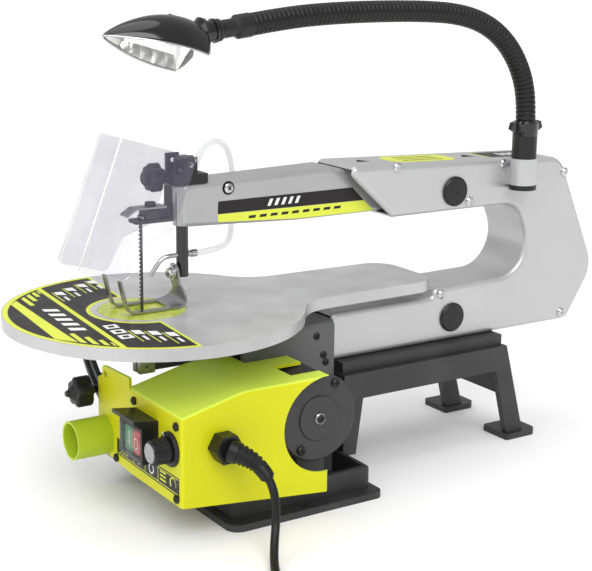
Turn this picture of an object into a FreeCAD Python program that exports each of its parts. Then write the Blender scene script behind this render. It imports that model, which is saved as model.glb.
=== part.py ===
import FreeCAD, Part
import math
import os
import Sketcher
from FreeCAD import Placement, Rotation, Vector

# Bench scroll saw. Frame: +X from the user to the rear column, +Z up, the user's right is -Y.
# The origin lies on the bench, under the middle of the saw. Lengths are millimetres.

doc = FreeCAD.newDocument("scroll_saw")
sheet = doc.addObject("Spreadsheet::Sheet", "dims")


# ---------------------------------------------------------------- sizes that stay bound to the sheet

class Size:
    """A number that remembers the spreadsheet expression it comes from."""

    def __init__(self, formula, number):
        self.formula = formula
        self.number = number

    def joined(self, other, sign, number):
        return Size("(%s %s %s)" % (self.formula, sign, formula(other)), number)

    def __add__(self, other):
        return self.joined(other, "+", self.number + plain(other))

    def __sub__(self, other):
        return self.joined(other, "-", self.number - plain(other))

    def __mul__(self, other):
        return self.joined(other, "*", self.number * plain(other))

    def __truediv__(self, other):
        return self.joined(other, "/", self.number / plain(other))

    def __rsub__(self, other):
        return Size("(%s - %s)" % (formula(other), self.formula), plain(other) - self.number)

    def __neg__(self):
        return 0 - self

    __radd__ = __add__
    __rmul__ = __mul__


def plain(size):
    return size.number if isinstance(size, Size) else float(size)


def formula(size):
    return size.formula if isinstance(size, Size) else repr(float(size))


def root(size):
    return Size("sqrt(%s)" % size.formula, math.sqrt(size.number))


sheet_rows = []


def dim(name, number, meaning):
    """Write one driving dimension into the sheet and return it."""
    row = len(sheet_rows) + 1
    sheet.set("A%d" % row, name)
    sheet.set("B%d" % row, str(number))
    sheet.set("C%d" % row, meaning)
    sheet.setAlias("B%d" % row, name)
    sheet_rows.append(name)
    return Size("dims." + name, float(number))


# main sizes
throat = dim("throat", 405, "blade to the column's inner wall")
blade_x = dim("blade_x", -186, "blade line")
table_top = dim("table_top", 170, "table surface above the bench")
column_x = blade_x + throat

# table
lobe_radius = dim("lobe_radius", 127, "round front of the table")
lobe_x = dim("lobe_x", -174, "centre of the round front")
neck_half = dim("neck_half", 47, "half width of the table's tail")
neck_round = dim("neck_round", 45, "concave corner between the round front and the tail")
tail_end_x = dim("tail_end_x", 96, "rear end of the tail")
rim_height = dim("rim_height", 10, "height of the table's rim")
plate_height = dim("plate_height", 5.5, "thickness of the table inside its rim")
insert_radius = dim("insert_radius", 37, "blade insert")
insert_height = dim("insert_height", 3, "thickness of the blade insert")
tilt_radius = dim("tilt_radius", 98, "lock stud from the tilt axis")
tilt_stud_angle = dim("tilt_stud_angle", 33, "lock stud from straight down, degrees")
tilt_span = dim("tilt_span", 45, "tilt range, degrees")

# housings
shell_near_y = dim("shell_near_y", -33, "near face of the C housing")
shell_far_y = dim("shell_far_y", 27, "far face of the C housing")
shell_wall = dim("shell_wall", 3, "wall of the housing shells")
shell_round = dim("shell_round", 5, "outer edge radius of the shells")
shell_bottom = dim("shell_bottom", 106, "underside of the C housing")
arm_half = dim("arm_half", 17.5, "half width of the front arm casting")
arm_wall = dim("arm_wall", 3.5, "wall of the front arm casting")
nose_x = dim("nose_x", -157, "front of the arm casting")

# rocker arms
upper_pivot_x = dim("upper_pivot_x", 119.6, "upper arm pivot")
upper_pivot_z = dim("upper_pivot_z", 248.5, "upper arm pivot")
lower_pivot_x = dim("lower_pivot_x", 121.6, "lower arm pivot")
lower_pivot_z = dim("lower_pivot_z", 128.2, "lower arm pivot")
pin_radius = dim("pin_radius", 5, "rocker arm pivot pins")
blade_top = dim("blade_top", 248, "upper blade pin")
blade_length = dim("blade_length", 127, "pin to pin")
tension_x = dim("tension_x", 247, "rear tension rod")

# motor and cover
motor_x = dim("motor_x", -70, "motor axis")
motor_z = dim("motor_z", 81, "motor axis")
motor_radius = dim("motor_radius", 36, "motor can")
throw = dim("throw", 4.6, "eccentric throw")
cover_front = dim("cover_front", -207, "front of the control cover")
cover_near = dim("cover_near", -107, "near face of the control cover")
cover_wall = dim("cover_wall", 2.5, "wall of the control cover")

# small parts
post_x = dim("post_x", -152, "hold-down post")
post_y = dim("post_y", -8.5, "hold-down post")
post_radius = dim("post_radius", 5.2, "hold-down post")
guard_half = dim("guard_half", 18.2, "inner half width of the clear guard")
guard_sheet = dim("guard_sheet", 2, "thickness of the clear guard")
lamp_x = dim("lamp_x", 191, "lamp socket")
lamp_y = dim("lamp_y", -46, "lamp socket")
neck_radius = dim("neck_radius", 9.3, "gooseneck")
cord_radius = dim("cord_radius", 3.5, "power cord")
port_y = dim("port_y", 31.5, "dust port")
port_z = dim("port_z", 53, "dust port")
dial_y = dim("dial_y", -89, "speed dial")
dial_z = dim("dial_z", 78, "speed dial")

doc.recompute()


# ---------------------------------------------------------------- construction helpers

def origin_plane(body, role):
    return [item for item in body.Origin.OriginFeatures if item.Role == role][0]


def pin_point(rules, geometry, point, place):
    """Hold one sketch point at place, measured from the sketch's origin."""
    for kind, size, axis in (("DistanceX", place[0], -2), ("DistanceY", place[1], -1)):
        if isinstance(size, Size) or size != 0:
            rules.append((Sketcher.Constraint(kind, -1, 1, geometry, point, plain(size)), size))
        else:
            rules.append((Sketcher.Constraint("PointOnObject", geometry, point, axis), None))


def draw_loop(sketch, corners):
    """Closed outline of straight sides. A corner is (u, v) or (u, v, radius)."""
    points = [Vector(plain(corner[0]), plain(corner[1]), 0) for corner in corners]
    count = len(points)
    enters, leaves, arcs = [], [], []
    for i, corner in enumerate(corners):
        point = points[i]
        enter = leave = point
        arc = None
        if len(corner) > 2:
            radius = plain(corner[2])
            back = (points[i - 1] - point).normalize()
            ahead = (points[(i + 1) % count] - point).normalize()
            half = back.getAngle(ahead) / 2
            enter = point + back * (radius / math.tan(half))
            leave = point + ahead * (radius / math.tan(half))
            centre = point + (back + ahead).normalize() * (radius / math.sin(half))
            start, stop = [math.atan2(q.y - centre.y, q.x - centre.x) for q in (enter, leave)]
            turn = (stop - start + math.pi) % (2 * math.pi) - math.pi
            if turn < 0:
                start = stop
            arc = Part.ArcOfCircle(Part.Circle(centre, Vector(0, 0, 1), radius), start, start + abs(turn))
        enters.append(enter)
        leaves.append(leave)
        arcs.append(arc)
    sides = []
    for i in range(count):
        sides.append(sketch.addGeometry(Part.LineSegment(leaves[i], enters[(i + 1) % count])))
    rules = []
    for i, corner in enumerate(corners):
        before, after = sides[i - 1], sides[i]
        if arcs[i] is None:
            rules.append((Sketcher.Constraint("Coincident", before, 2, after, 1), None))
            pin_point(rules, after, 1, corner)
            continue
        arc = sketch.addGeometry(arcs[i])
        mark = sketch.addGeometry(Part.Point(points[i]), True)
        first = 1 if sketch.Geometry[arc].StartPoint.isEqual(enters[i], 1e-6) else 2
        rules.append((Sketcher.Constraint("Tangent", before, 2, arc, first), None))
        rules.append((Sketcher.Constraint("Tangent", arc, 3 - first, after, 1), None))
        rules.append((Sketcher.Constraint("Radius", arc, plain(corner[2])), corner[2]))
        rules.append((Sketcher.Constraint("PointOnObject", mark, 1, before), None))
        rules.append((Sketcher.Constraint("PointOnObject", mark, 1, after), None))
        pin_point(rules, mark, 1, corner)
    add_rules(sketch, rules)


def draw_circle(sketch, u, v, radius):
    circle = sketch.addGeometry(Part.Circle(Vector(plain(u), plain(v), 0), Vector(0, 0, 1), plain(radius)))
    rules = [(Sketcher.Constraint("Radius", circle, plain(radius)), radius)]
    pin_point(rules, circle, 3, (u, v))
    add_rules(sketch, rules)


def add_rules(sketch, rules):
    """Add constraints, and bind the ones whose size comes from the sheet."""
    first = sketch.ConstraintCount
    sketch.addConstraint([rule for rule, size in rules])
    for i, (rule, size) in enumerate(rules):
        if isinstance(size, Size):
            sketch.setExpression("Constraints[%d]" % (first + i), size.formula)


def new_sketch(body, role, offset, corners, circles=()):
    sketch = body.newObject("Sketcher::SketchObject", body.Name + "_sketch")
    sketch.AttachmentSupport = [(origin_plane(body, role), "")]
    sketch.MapMode = "FlatFace"
    sketch.setExpression("AttachmentOffset.Base.z", formula(offset))
    draw_loop(sketch, corners)
    for circle in circles:
        draw_circle(sketch, *circle)
    return sketch


def prism(name, axis, low, high, corners, circles=()):
    """Body padded from an outline between low and high along a frame axis.

    The outline's u, v are Y, Z for an X prism, X, Z for a Y prism and X, Y for a Z prism.
    """
    role = {"x": "YZ_Plane", "y": "XZ_Plane", "z": "XY_Plane"}[axis]
    offset = -high if axis == "y" else low
    body = doc.addObject("PartDesign::Body", name)
    pad = body.newObject("PartDesign::Pad", name + "_pad")
    pad.Profile = new_sketch(body, role, offset, corners, circles)
    pad.setExpression("Length", formula(high - low))
    doc.recompute()
    return body


def turned(name, corners, x=0, y=0, z=0, axis=None, angle=0):
    """Body of revolution: corners are (radius, height), turned about the body's own Z."""
    body = doc.addObject("PartDesign::Body", name)
    turn = body.newObject("PartDesign::Revolution", name + "_turn")
    sketch = new_sketch(body, "XZ_Plane", 0, corners)
    turn.Profile = sketch
    turn.ReferenceAxis = (sketch, ["V_Axis"])
    turn.Angle = 360
    doc.recompute()
    return put(body, x, y, z, axis, angle)


def inset(corners, wall, open_sides=()):
    """Outline a wall's thickness inside another; an open side moves 2 mm out instead.

    Side i runs from corner i to corner i + 1. The outline runs clockwise.
    """
    count = len(corners)
    moved = []
    for i, corner in enumerate(corners):
        here = [plain(corner[0]), plain(corner[1])]
        last = [plain(v) for v in corners[i - 1][:2]]
        after = [plain(v) for v in corners[(i + 1) % count][:2]]
        normals = []
        for start, stop in ((last, here), (here, after)):
            du, dv = stop[0] - start[0], stop[1] - start[1]
            size = math.hypot(du, dv)
            normals.append((dv / size, -du / size))
        (u1, v1), (u2, v2) = normals
        cross = u1 * v2 - v1 * u2
        first = -2 if (i - 1) % count in open_sides else wall
        second = -2 if i in open_sides else wall
        u = corner[0] + first * round(v2 / cross, 9) - second * round(v1 / cross, 9)
        v = corner[1] + second * round(u1 / cross, 9) - first * round(u2 / cross, 9)
        point = (u, v)
        if len(corner) > 2:
            # outer corners shrink with the wall and inner corners grow
            point = (u, v, max(corner[2] - wall, 1) if cross < 0 else corner[2] + wall)
        moved.append(point)
    return moved


def round_edges(body, radius, chosen):
    """Fillet the edges of the body's tip for which chosen(edge) is true."""
    tip = body.Tip
    names = ["Edge%d" % (i + 1) for i, edge in enumerate(tip.Shape.Edges) if chosen(edge)]
    fillet = body.newObject("PartDesign::Fillet", body.Name + "_round")
    fillet.Base = (tip, names)
    fillet.setExpression("Radius", formula(radius))
    doc.recompute()
    return body


def put(item, x=0, y=0, z=0, axis=None, angle=0):
    """Place an item; sizes from the sheet stay bound."""
    item.Placement = Placement(Vector(plain(x), plain(y), plain(z)), Rotation(axis or Vector(0, 0, 1), angle))
    for letter, size in (("x", x), ("y", y), ("z", z)):
        if isinstance(size, Size):
            item.setExpression("Placement.Base." + letter, size.formula)
    return item


def bind(item, **sizes):
    for key, size in sizes.items():
        item.setExpression(key, formula(size))
    return item


ALONG = {"x": (Vector(0, 1, 0), 90), "y": (Vector(1, 0, 0), -90), "z": (None, 0)}


def rod(name, axis, radius, low, high, a, b, sector=360):
    """Round bar along an axis, from low to high; a, b are its other two coordinates in X, Y, Z order."""
    item = bind(doc.addObject("Part::Cylinder", name), Radius=radius, Height=high - low, Angle=sector)
    place = {"x": (low, a, b), "y": (a, low, b), "z": (a, b, low)}[axis]
    return put(item, *place, *ALONG[axis])


def block(name, x, y, z):
    """Box between pairs of limits."""
    item = bind(doc.addObject("Part::Box", name), Length=x[1] - x[0], Width=y[1] - y[0], Height=z[1] - z[0])
    return put(item, x[0], y[0], z[0])


def cone(name, axis, radius_low, radius_high, low, high, a, b):
    item = bind(doc.addObject("Part::Cone", name), Radius1=radius_low, Radius2=radius_high, Height=high - low)
    place = {"x": (low, a, b), "y": (a, low, b), "z": (a, b, low)}[axis]
    return put(item, *place, *ALONG[axis])


def fused(name, *items):
    union = doc.addObject("Part::MultiFuse", name)
    union.Shapes = list(items)
    union.Refine = True
    doc.recompute()
    return union


def cut(name, base, *tools):
    """Cut the tools from the base, and stop if nothing was removed."""
    tool = tools[0] if len(tools) == 1 else fused(name + "_tools", *tools)
    result = doc.addObject("Part::Cut", name)
    result.Base = base
    result.Tool = tool
    doc.recompute()
    if result.Shape.Volume >= base.Shape.Volume - 1e-3:
        raise RuntimeError(name + ": the cut removed nothing")
    return result


def common(name, first, second):
    result = doc.addObject("Part::MultiCommon", name)
    result.Shapes = [first, second]
    doc.recompute()
    return result


def group(name, *items):
    """Separate identical solids kept in one node."""
    result = doc.addObject("Part::Compound", name)
    result.Links = list(items)
    doc.recompute()
    return result


def feature(name, shape, x=0, y=0, z=0):
    """A shape made by Part's own functions from sizes read from the sheet."""
    item = doc.addObject("Part::Feature", name)
    item.Shape = shape
    return put(item, x, y, z)


nodes = {}


def node(name, item):
    item.Label = name
    nodes[name] = item
    return item


def on_plane(face, letter, value):
    """Whether a flat face lies on a frame plane."""
    box = face.BoundBox
    low, high = getattr(box, letter + "Min"), getattr(box, letter + "Max")
    return abs(low - value) < 1e-4 and abs(high - value) < 1e-4


def edges_at(letter, value):
    """A test for edges that lie in a frame plane."""
    return lambda edge: on_plane(edge, letter, plain(value))


def tube_path(points):
    """Straight runs joined by tangent arcs, as large as the runs allow; returns the wire and the radii."""
    edges, radii = [], []
    last = points[0]
    for before, point, after in zip(points, points[1:], points[2:]):
        back, ahead = before - point, after - point
        run = min(back.Length, ahead.Length)
        reach = 0.45 * run
        half_turn = (math.pi - back.getAngle(ahead)) / 2
        radius = reach / math.tan(half_turn)
        start = point + back.normalize() * reach
        stop = point + ahead.normalize() * reach
        sag = radius / math.cos(half_turn) - radius
        middle = point + ((start + stop) * 0.5 - point).normalize() * sag
        edges += [Part.LineSegment(last, start).toShape(), Part.Arc(start, middle, stop).toShape()]
        last = stop
        radii.append(radius)
    edges.append(Part.LineSegment(last, points[-1]).toShape())
    return Part.Wire(edges), radii


def tube(name, points, radius, inner=None):
    """Round tube along a path, checked against its section times its length."""
    wire, radii = tube_path([Vector(*[plain(c) for c in point]) for point in points])
    start = wire.Edges[0]
    heading = start.tangentAt(start.FirstParameter)

    def swept(size):
        ring = Part.Wire(Part.Circle(wire.Edges[0].Vertexes[0].Point, heading, plain(size)).toShape())
        return wire.makePipeShell([ring], True, False)

    solid = swept(radius)
    area = math.pi * plain(radius) ** 2
    if abs(solid.Volume - area * wire.Length) > 0.01 * area * wire.Length:
        raise RuntimeError(name + ": the tube's volume does not match its length")
    if inner is not None:
        solid = solid.cut(swept(inner))
    print(name, "length %.0f mm, radii" % wire.Length, [round(r) for r in radii])
    return feature(name, solid)


# ---------------------------------------------------------------- base casting

def build_base():
    deck_low, deck_top, rim_top = 72, 96, shell_bottom
    leg_outline = [(-12, 20), (-12, deck_top), (178, deck_top), (204, 3), (184, 3), (166, deck_low), (9, deck_low),
                   (2, 20)]
    near_wall = prism("base_near_wall", "y", -50, -43, leg_outline)
    far_wall = prism("base_far_wall", "y", 43, 50, leg_outline)
    deck = block("base_deck", (-12, 172), (-50, 50), (90, deck_top))
    rim = block("base_rim", (-10, 176), (-44, 38), (deck_top, rim_top))
    rim_pocket = block("base_rim_pocket", (0, 166), (-24, 18), (89, 101))
    front_wall = block("base_front_wall", (-12, -5), (-50, 50), (20, deck_top))
    rear_wall = block("base_rear_wall", (176, 182), (-44, 44), (46, 84))
    near_foot = prism("base_near_foot", "z", 0, 6, [(180, -54, 3), (219, -54, 8), (219, -18, 8), (180, -18, 3)])
    far_foot = prism("base_far_foot", "z", 0, 6, [(180, 40, 3), (219, 40, 8), (219, 76, 8), (180, 76, 3)])
    pad = prism("base_pad", "z", 0, 6, [(-160, -106, 12), (-7, -106, 8), (-7, 90, 8), (-160, 90, 12)])
    tray = prism("base_tray", "z", 0, 25, [(-151, -92, 8), (-11, -92, 6), (-11, 75, 6), (-151, 75, 8)])
    round_edges(tray, 3, edges_at("Z", 25))
    body = fused("base_body", near_wall, far_wall, deck, rim, front_wall, rear_wall, near_foot, far_foot, pad, tray)
    tray_pocket = block("base_tray_pocket", (-145, -17), (-86, 69), (5, 26))
    under_pocket = block("base_under_pocket", (-140, -22), (-80, 63), (-1, 3))
    bolts = [rod("base_bolt%d" % i, "z", 3.5, -1, 8, x, y)
             for i, (x, y) in enumerate([(-86, -98), (-86, 82), (205, -36), (205, 60)])]
    node("base_casting", cut("base", body, rim_pocket, tray_pocket, under_pocket, *bolts))


# ---------------------------------------------------------------- C housing and front arm

def housing_outline():
    return [(-6, 280, 6), (253, 271, 22), (304.6, 157, 32), (272, shell_bottom, 12), (-16, shell_bottom, 6),
            (-16, 150, 6), (98, 150, 3), (101, 158, 6), (column_x + 10, 160, 34), (column_x - 20, 230, 24),
            (49.5, 230, 6)]


def housing_shell(name, low, high):
    """Half of the C housing: open at the split, at the front of the lower arm and at the arm's slanted front."""
    shell = prism(name, "y", low, high, housing_outline())
    outer = plain(shell_near_y) if plain(low) < 0 else plain(shell_far_y)
    round_edges(shell, shell_round, edges_at("Y", outer))
    radii = [plain(corner[2]) for corner in housing_outline()]
    inner = []
    for corner, radius in zip(inset([corner[:2] for corner in housing_outline()], shell_wall, (4, 10)), radii):
        inner.append((corner[0], corner[1], max(radius - 3, 2)))
    # inner corners of the C are larger by the wall
    for i in (6, 8, 9):
        inner[i] = (inner[i][0], inner[i][1], radii[i] + 3)
    if outer < 0:
        room = prism(name + "_room", "y", low + shell_wall, high + 1, inner)
        return cut(name + "_shell", shell, room)
    room = prism(name + "_room", "y", low - 1, high - shell_wall, inner)
    shell_open = cut(name + "_shell", shell, room)
    # the corner over the lower arm slopes, to clear the table's tail when it tilts to this side
    slope = prism(name + "_slope", "x", -18, 99, [(-2, 152), (28, 122), (28, 152)])
    cover = prism(name + "_slope_plate", "x", -16, 96, [(0, 147), (0, 149.2), (27, 122.2), (27, 119), (24, 119)])
    return fused(name + "_body", cut(name + "_sloped", shell_open, slope), cover)


def build_housing():
    places = [(upper_pivot_x, upper_pivot_z), (lower_pivot_x, lower_pivot_z)]
    near_holes = [rod("near_hole_%d" % i, "y", pin_radius + 0.05, shell_near_y - 1, shell_near_y + 6, x, z)
                  for i, (x, z) in enumerate(places)]
    far_holes = [rod("far_hole_%d" % i, "y", pin_radius + 0.05, shell_far_y - 6, shell_far_y + 1, x, z)
                 for i, (x, z) in enumerate(places)]
    node("housing_near", cut("near_drilled", housing_shell("near", shell_near_y, 0 * shell_near_y), *near_holes))
    node("housing_far", cut("far_drilled", housing_shell("far", 0 * shell_far_y, shell_far_y), *far_holes))


def build_arm_casting():
    """Inverted channel that carries the nose parts; the upper rocker arm swings inside it."""
    outline = [(nose_x, 239, 3), (nose_x, 275, 7), (-8, 279, 4), (4, 275.8), (66, 273), (66, 240), (46, 234),
               (-42, 234)]
    outer = prism("arm_outer", "y", -arm_half, arm_half, outline)
    round_edges(outer, 5, lambda edge: (on_plane(edge, "Y", plain(arm_half)) or on_plane(edge, "Y", -plain(arm_half)))
                and edge.BoundBox.ZMin > 266)
    inner_half = arm_half - arm_wall
    inner = prism("arm_inner", "y", -inner_half, inner_half,
                  [(nose_x - 1, 230), (nose_x - 1, 271), (-6, 274), (67, 268.5), (67, 230)])
    boss = rod("post_boss", "z", 7.6, 240, 273, post_x, post_y)
    channel = cut("arm_channel", outer, inner)
    lugs = [rod("arm_lug_near", "y", 6, shell_near_y + shell_wall, -arm_half + 1, 54, 255),
            rod("arm_lug_far", "y", 6, arm_half - 1, shell_far_y - shell_wall, 54, 255)]
    body = fused("arm_body", channel, boss, *lugs)
    bore = rod("post_bore", "z", post_radius + 0.08, 200, 290, post_x, post_y)
    window = block("casting_window", (nose_x - 2, nose_x + 4), (-12, 12), (236, 268))
    node("arm_casting", cut("arm_bored", body, bore, window))


# ---------------------------------------------------------------- rocker arms, blade and drive

def build_rockers():
    low_y, high_y = 1.2, 9
    pivot_boss = 12
    upper = prism("upper_beam", "y", low_y, high_y,
                  [(-160, 243), (-160, 256), (60, 258), (upper_pivot_x, 261), (tension_x + 8, 254),
                   (tension_x + 8, 242), (upper_pivot_x, 236), (60, 240)])
    upper_boss = rod("upper_boss", "y", pivot_boss, -8, high_y, upper_pivot_x, upper_pivot_z)
    pump_arm = block("upper_pump_arm", (70, 84), (-25, 2), (252, 256))
    upper_body = fused("upper_rocker_body", upper, upper_boss, pump_arm)
    bore = rod("upper_bore", "y", pin_radius + 0.05, -10, 12, upper_pivot_x, upper_pivot_z)
    rod_hole = rod("upper_rod_hole", "y", 3.6, -10, 12, tension_x, 248.5)
    node("upper_rocker", cut("upper_rocker_cut", upper_body, bore, rod_hole))

    pin_z = blade_top - blade_length
    lower = prism("lower_beam", "y", -4, 4,
                  [(-178, pin_z - 5), (-178, pin_z + 7), (motor_x, 129), (60, 136), (lower_pivot_x, 140),
                   (tension_x + 8, 134), (tension_x + 8, 122), (lower_pivot_x, 116), (60, 117), (motor_x, 116)])
    lower_boss = rod("lower_boss", "y", pivot_boss, -8, 9, lower_pivot_x, lower_pivot_z)
    lower_body = fused("lower_rocker_body", lower, lower_boss)
    bore = rod("lower_bore", "y", pin_radius + 0.05, -10, 12, lower_pivot_x, lower_pivot_z)
    rod_pin = rod("lower_rod_hole", "y", 3.0, -10, 12, tension_x, lower_pivot_z)
    small_end = rod("lower_small_end", "y", 3.0, -10, 12, motor_x + 4, 122.5)
    node("lower_rocker", cut("lower_rocker_cut", lower_body, bore, rod_pin, small_end))


def build_pivots():
    pins = [rod("pin_upper", "y", pin_radius, shell_near_y - 0.5, shell_far_y + 0.5, upper_pivot_x, upper_pivot_z),
            rod("pin_lower", "y", pin_radius, shell_near_y - 0.5, shell_far_y + 0.5, lower_pivot_x, lower_pivot_z)]
    node("pivot_pins", group("pivot_pin_pair", *pins))
    cap = [(0, 0), (13.8, 0), (13.8, 1.4), (12.4, 2.8), (0, 3.4)]
    caps = []
    for i, (x, z) in enumerate([(upper_pivot_x, upper_pivot_z), (lower_pivot_x, lower_pivot_z)]):
        caps.append(turned("cap_near_%d" % i, cap, x, shell_near_y - 0.5, z, Vector(1, 0, 0), 90))
        caps.append(turned("cap_far_%d" % i, cap, x, shell_far_y + 0.5, z, Vector(1, 0, 0), -90))
    node("pivot_caps", group("pivot_cap_set", *caps))


def build_tension_rod():
    """Rod that joins the rear ends of the two arms; its upper end runs with clearance."""
    bar = rod("tension_bar", "z", 3, lower_pivot_z + 5, 243, tension_x, 13.5)
    lower_eye = rod("tension_lower_eye", "y", 7, 10, 17, tension_x, lower_pivot_z)
    upper_eye = rod("tension_upper_eye", "y", 7, 10, 17, tension_x, 248.5)
    lower_pin = rod("tension_lower_pin", "y", 2.95, -4, 12, tension_x, lower_pivot_z)
    upper_pin = rod("tension_upper_pin", "y", 3, 1.5, 12, tension_x, 248.5)
    node("tension_rod", fused("tension_rod_body", bar, lower_eye, upper_eye, lower_pin, upper_pin))


def build_blade():
    pin_low = blade_top - blade_length
    strip = block("blade_strip", (blade_x - 1.6, blade_x + 1.4), (-0.3, 0.3), (pin_low - 3, blade_top + 3))
    pins = [rod("blade_pin_low", "y", 1.2, -4.5, 4.5, blade_x, pin_low),
            rod("blade_pin_high", "y", 1.2, -4.5, 4.5, blade_x, blade_top)]
    node("blade", fused("blade_body", strip, *pins))


def build_blade_holders():
    pin_low = blade_top - blade_length
    # lower holder: a forked block on the end of the lower rocker arm
    fork = block("lower_fork", (blade_x - 6, -178), (-7, 7), (pin_low - 6, pin_low + 6))
    fork_slot = block("lower_fork_slot", (blade_x - 7, blade_x + 3), (-1, 1), (pin_low - 7, pin_low + 7))
    fork_bore = rod("lower_fork_bore", "y", 1.25, -8, 8, blade_x, pin_low)
    node("lower_holder", cut("lower_holder_cut", fork, fork_slot, fork_bore))

    # upper holder: hooked plate under the rocker arm's end, with a clamp block on it
    plate = prism("upper_plate", "z", blade_top - 4.5, blade_top - 2,
                  [(blade_x - 8, -8, 3), (-160.2, -8), (-160.2, 9), (blade_x - 8, 9, 3)])
    web = block("upper_web", (-171, -160.2), (1.2, 9), (blade_top - 4.5, blade_top + 6))
    clamp_block = block("upper_block", (-183, -171), (-6, 9), (blade_top - 2, blade_top + 6))
    slot = block("upper_slot", (blade_x - 9, blade_x + 2.4), (-0.9, 0.9), (blade_top - 6, blade_top - 1))
    thread = rod("upper_thread", "z", 2.6, blade_top + 0.5, blade_top + 8, -177, 0)
    body = fused("upper_holder_body", plate, web, clamp_block)
    node("upper_holder", cut("upper_holder_cut", body, slot, thread))

    lever_z = blade_top + 7
    lever_outline = [(-201, lever_z - 5.5), (-202, lever_z - 4), (-193, lever_z + 1.6), (-165, lever_z + 1.6),
                     (-165, lever_z), (-192.5, lever_z)]
    lever_plate = prism("lever_plate", "y", -6.5, 6.5, lever_outline)
    lever_hole = rod("lever_hole", "z", 2.8, lever_z - 2, lever_z + 4, -177, 0)
    node("clamp_lever", cut("clamp_lever_cut", lever_plate, lever_hole))

    screw = [(0, -5.5), (2.5, -5.5), (2.5, 2), (4.6, 2), (4.6, 4.6), (4, 5.2), (0, 5.2)]
    node("clamp_screw", turned("clamp_screw_body", screw, -177, 0, lever_z))


def build_drive():
    wall_low, wall_high = 5, 146
    outline = [(-40, wall_low), (-40, wall_high, 6), (2, wall_high, 3), (20, wall_high - 18, 3), (20, wall_low),
               (15, wall_low), (15, 125), (0, 140), (-34, 140), (-34, wall_low)]
    channel = prism("drive_channel", "x", -110, -17, outline)
    shaft_hole = rod("drive_shaft_hole", "y", 12, -42, -30, motor_x, motor_z)
    node("drive_housing", cut("drive_housing_cut", channel, shaft_hole))

    # motor can, open towards the end cover
    can = rod("motor_can", "y", motor_radius, -90, -41, motor_x, motor_z)
    hollow_can = rod("motor_hollow", "y", motor_radius - 3, -91, -45, motor_x, motor_z)
    nose_bore = rod("motor_bore", "y", 4.06, -46, -40, motor_x, motor_z)
    saddle = block("motor_saddle", (motor_x - 14, motor_x + 14), (-84, -46), (5, motor_z - motor_radius + 3))
    shell = cut("motor_shell", fused("motor_outer", can, saddle), hollow_can, nose_bore)
    node("motor_body", shell)

    disc = [(0, -7), (0, 0), (19, 0), (19.6, -0.6), (19.6, -1.6), (36.6, -1.6), (38, -3), (38, -7)]
    cover = turned("motor_end", disc, motor_x, -97, motor_z, Vector(1, 0, 0), 90)
    node("motor_cover", cover)

    shaft = rod("shaft_bar", "y", 4, -86, -16, motor_x, motor_z)
    rotor = rod("shaft_rotor", "y", 20, -74, -50, motor_x, motor_z)
    node("motor_shaft", fused("motor_shaft_body", shaft, rotor))
    blades = [block("fan_blade_%d" % i, (4.5, 27), (-1, 1), (0, 7)) for i in range(8)]
    for i, blade in enumerate(blades):
        blade.Placement = Placement(Vector(0, 0, 0), Rotation(Vector(0, 0, 1), 45 * i))
    hub = cut("fan_hub", fused("fan_wheel", rod("fan_disc", "z", 27, -1.5, 0.5, 0, 0),
                               rod("fan_boss", "z", 8, 0, 7, 0, 0), *blades),
              rod("fan_bore", "z", 4, -3, 9, 0, 0))
    node("motor_fan", put(hub, motor_x, -77, motor_z, Vector(1, 0, 0), 90))
    disc = rod("eccentric_disc", "y", 8, -16, -5.8, motor_x + throw, motor_z)
    node("eccentric", disc)

    ring = rod("rod_ring", "y", 21.5, -12, -5.8, motor_x, motor_z)
    bar = block("rod_bar", (motor_x - 1, motor_x + 9), (-12, -5.8), (motor_z + 15, 127))
    eye = rod("rod_eye", "y", 8, -12, -5.8, motor_x + 4, 122.5)
    opening = rod("rod_opening", "y", 8 + throw * 2 + 0.8, -13, -5, motor_x, motor_z)
    pin = rod("rod_pin", "y", 2.95, -12, 4, motor_x + 4, 122.5)
    node("connecting_rod", fused("rod_with_pin", cut("rod_link", fused("rod_body", ring, bar, eye), opening), pin))


# ---------------------------------------------------------------- table

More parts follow.
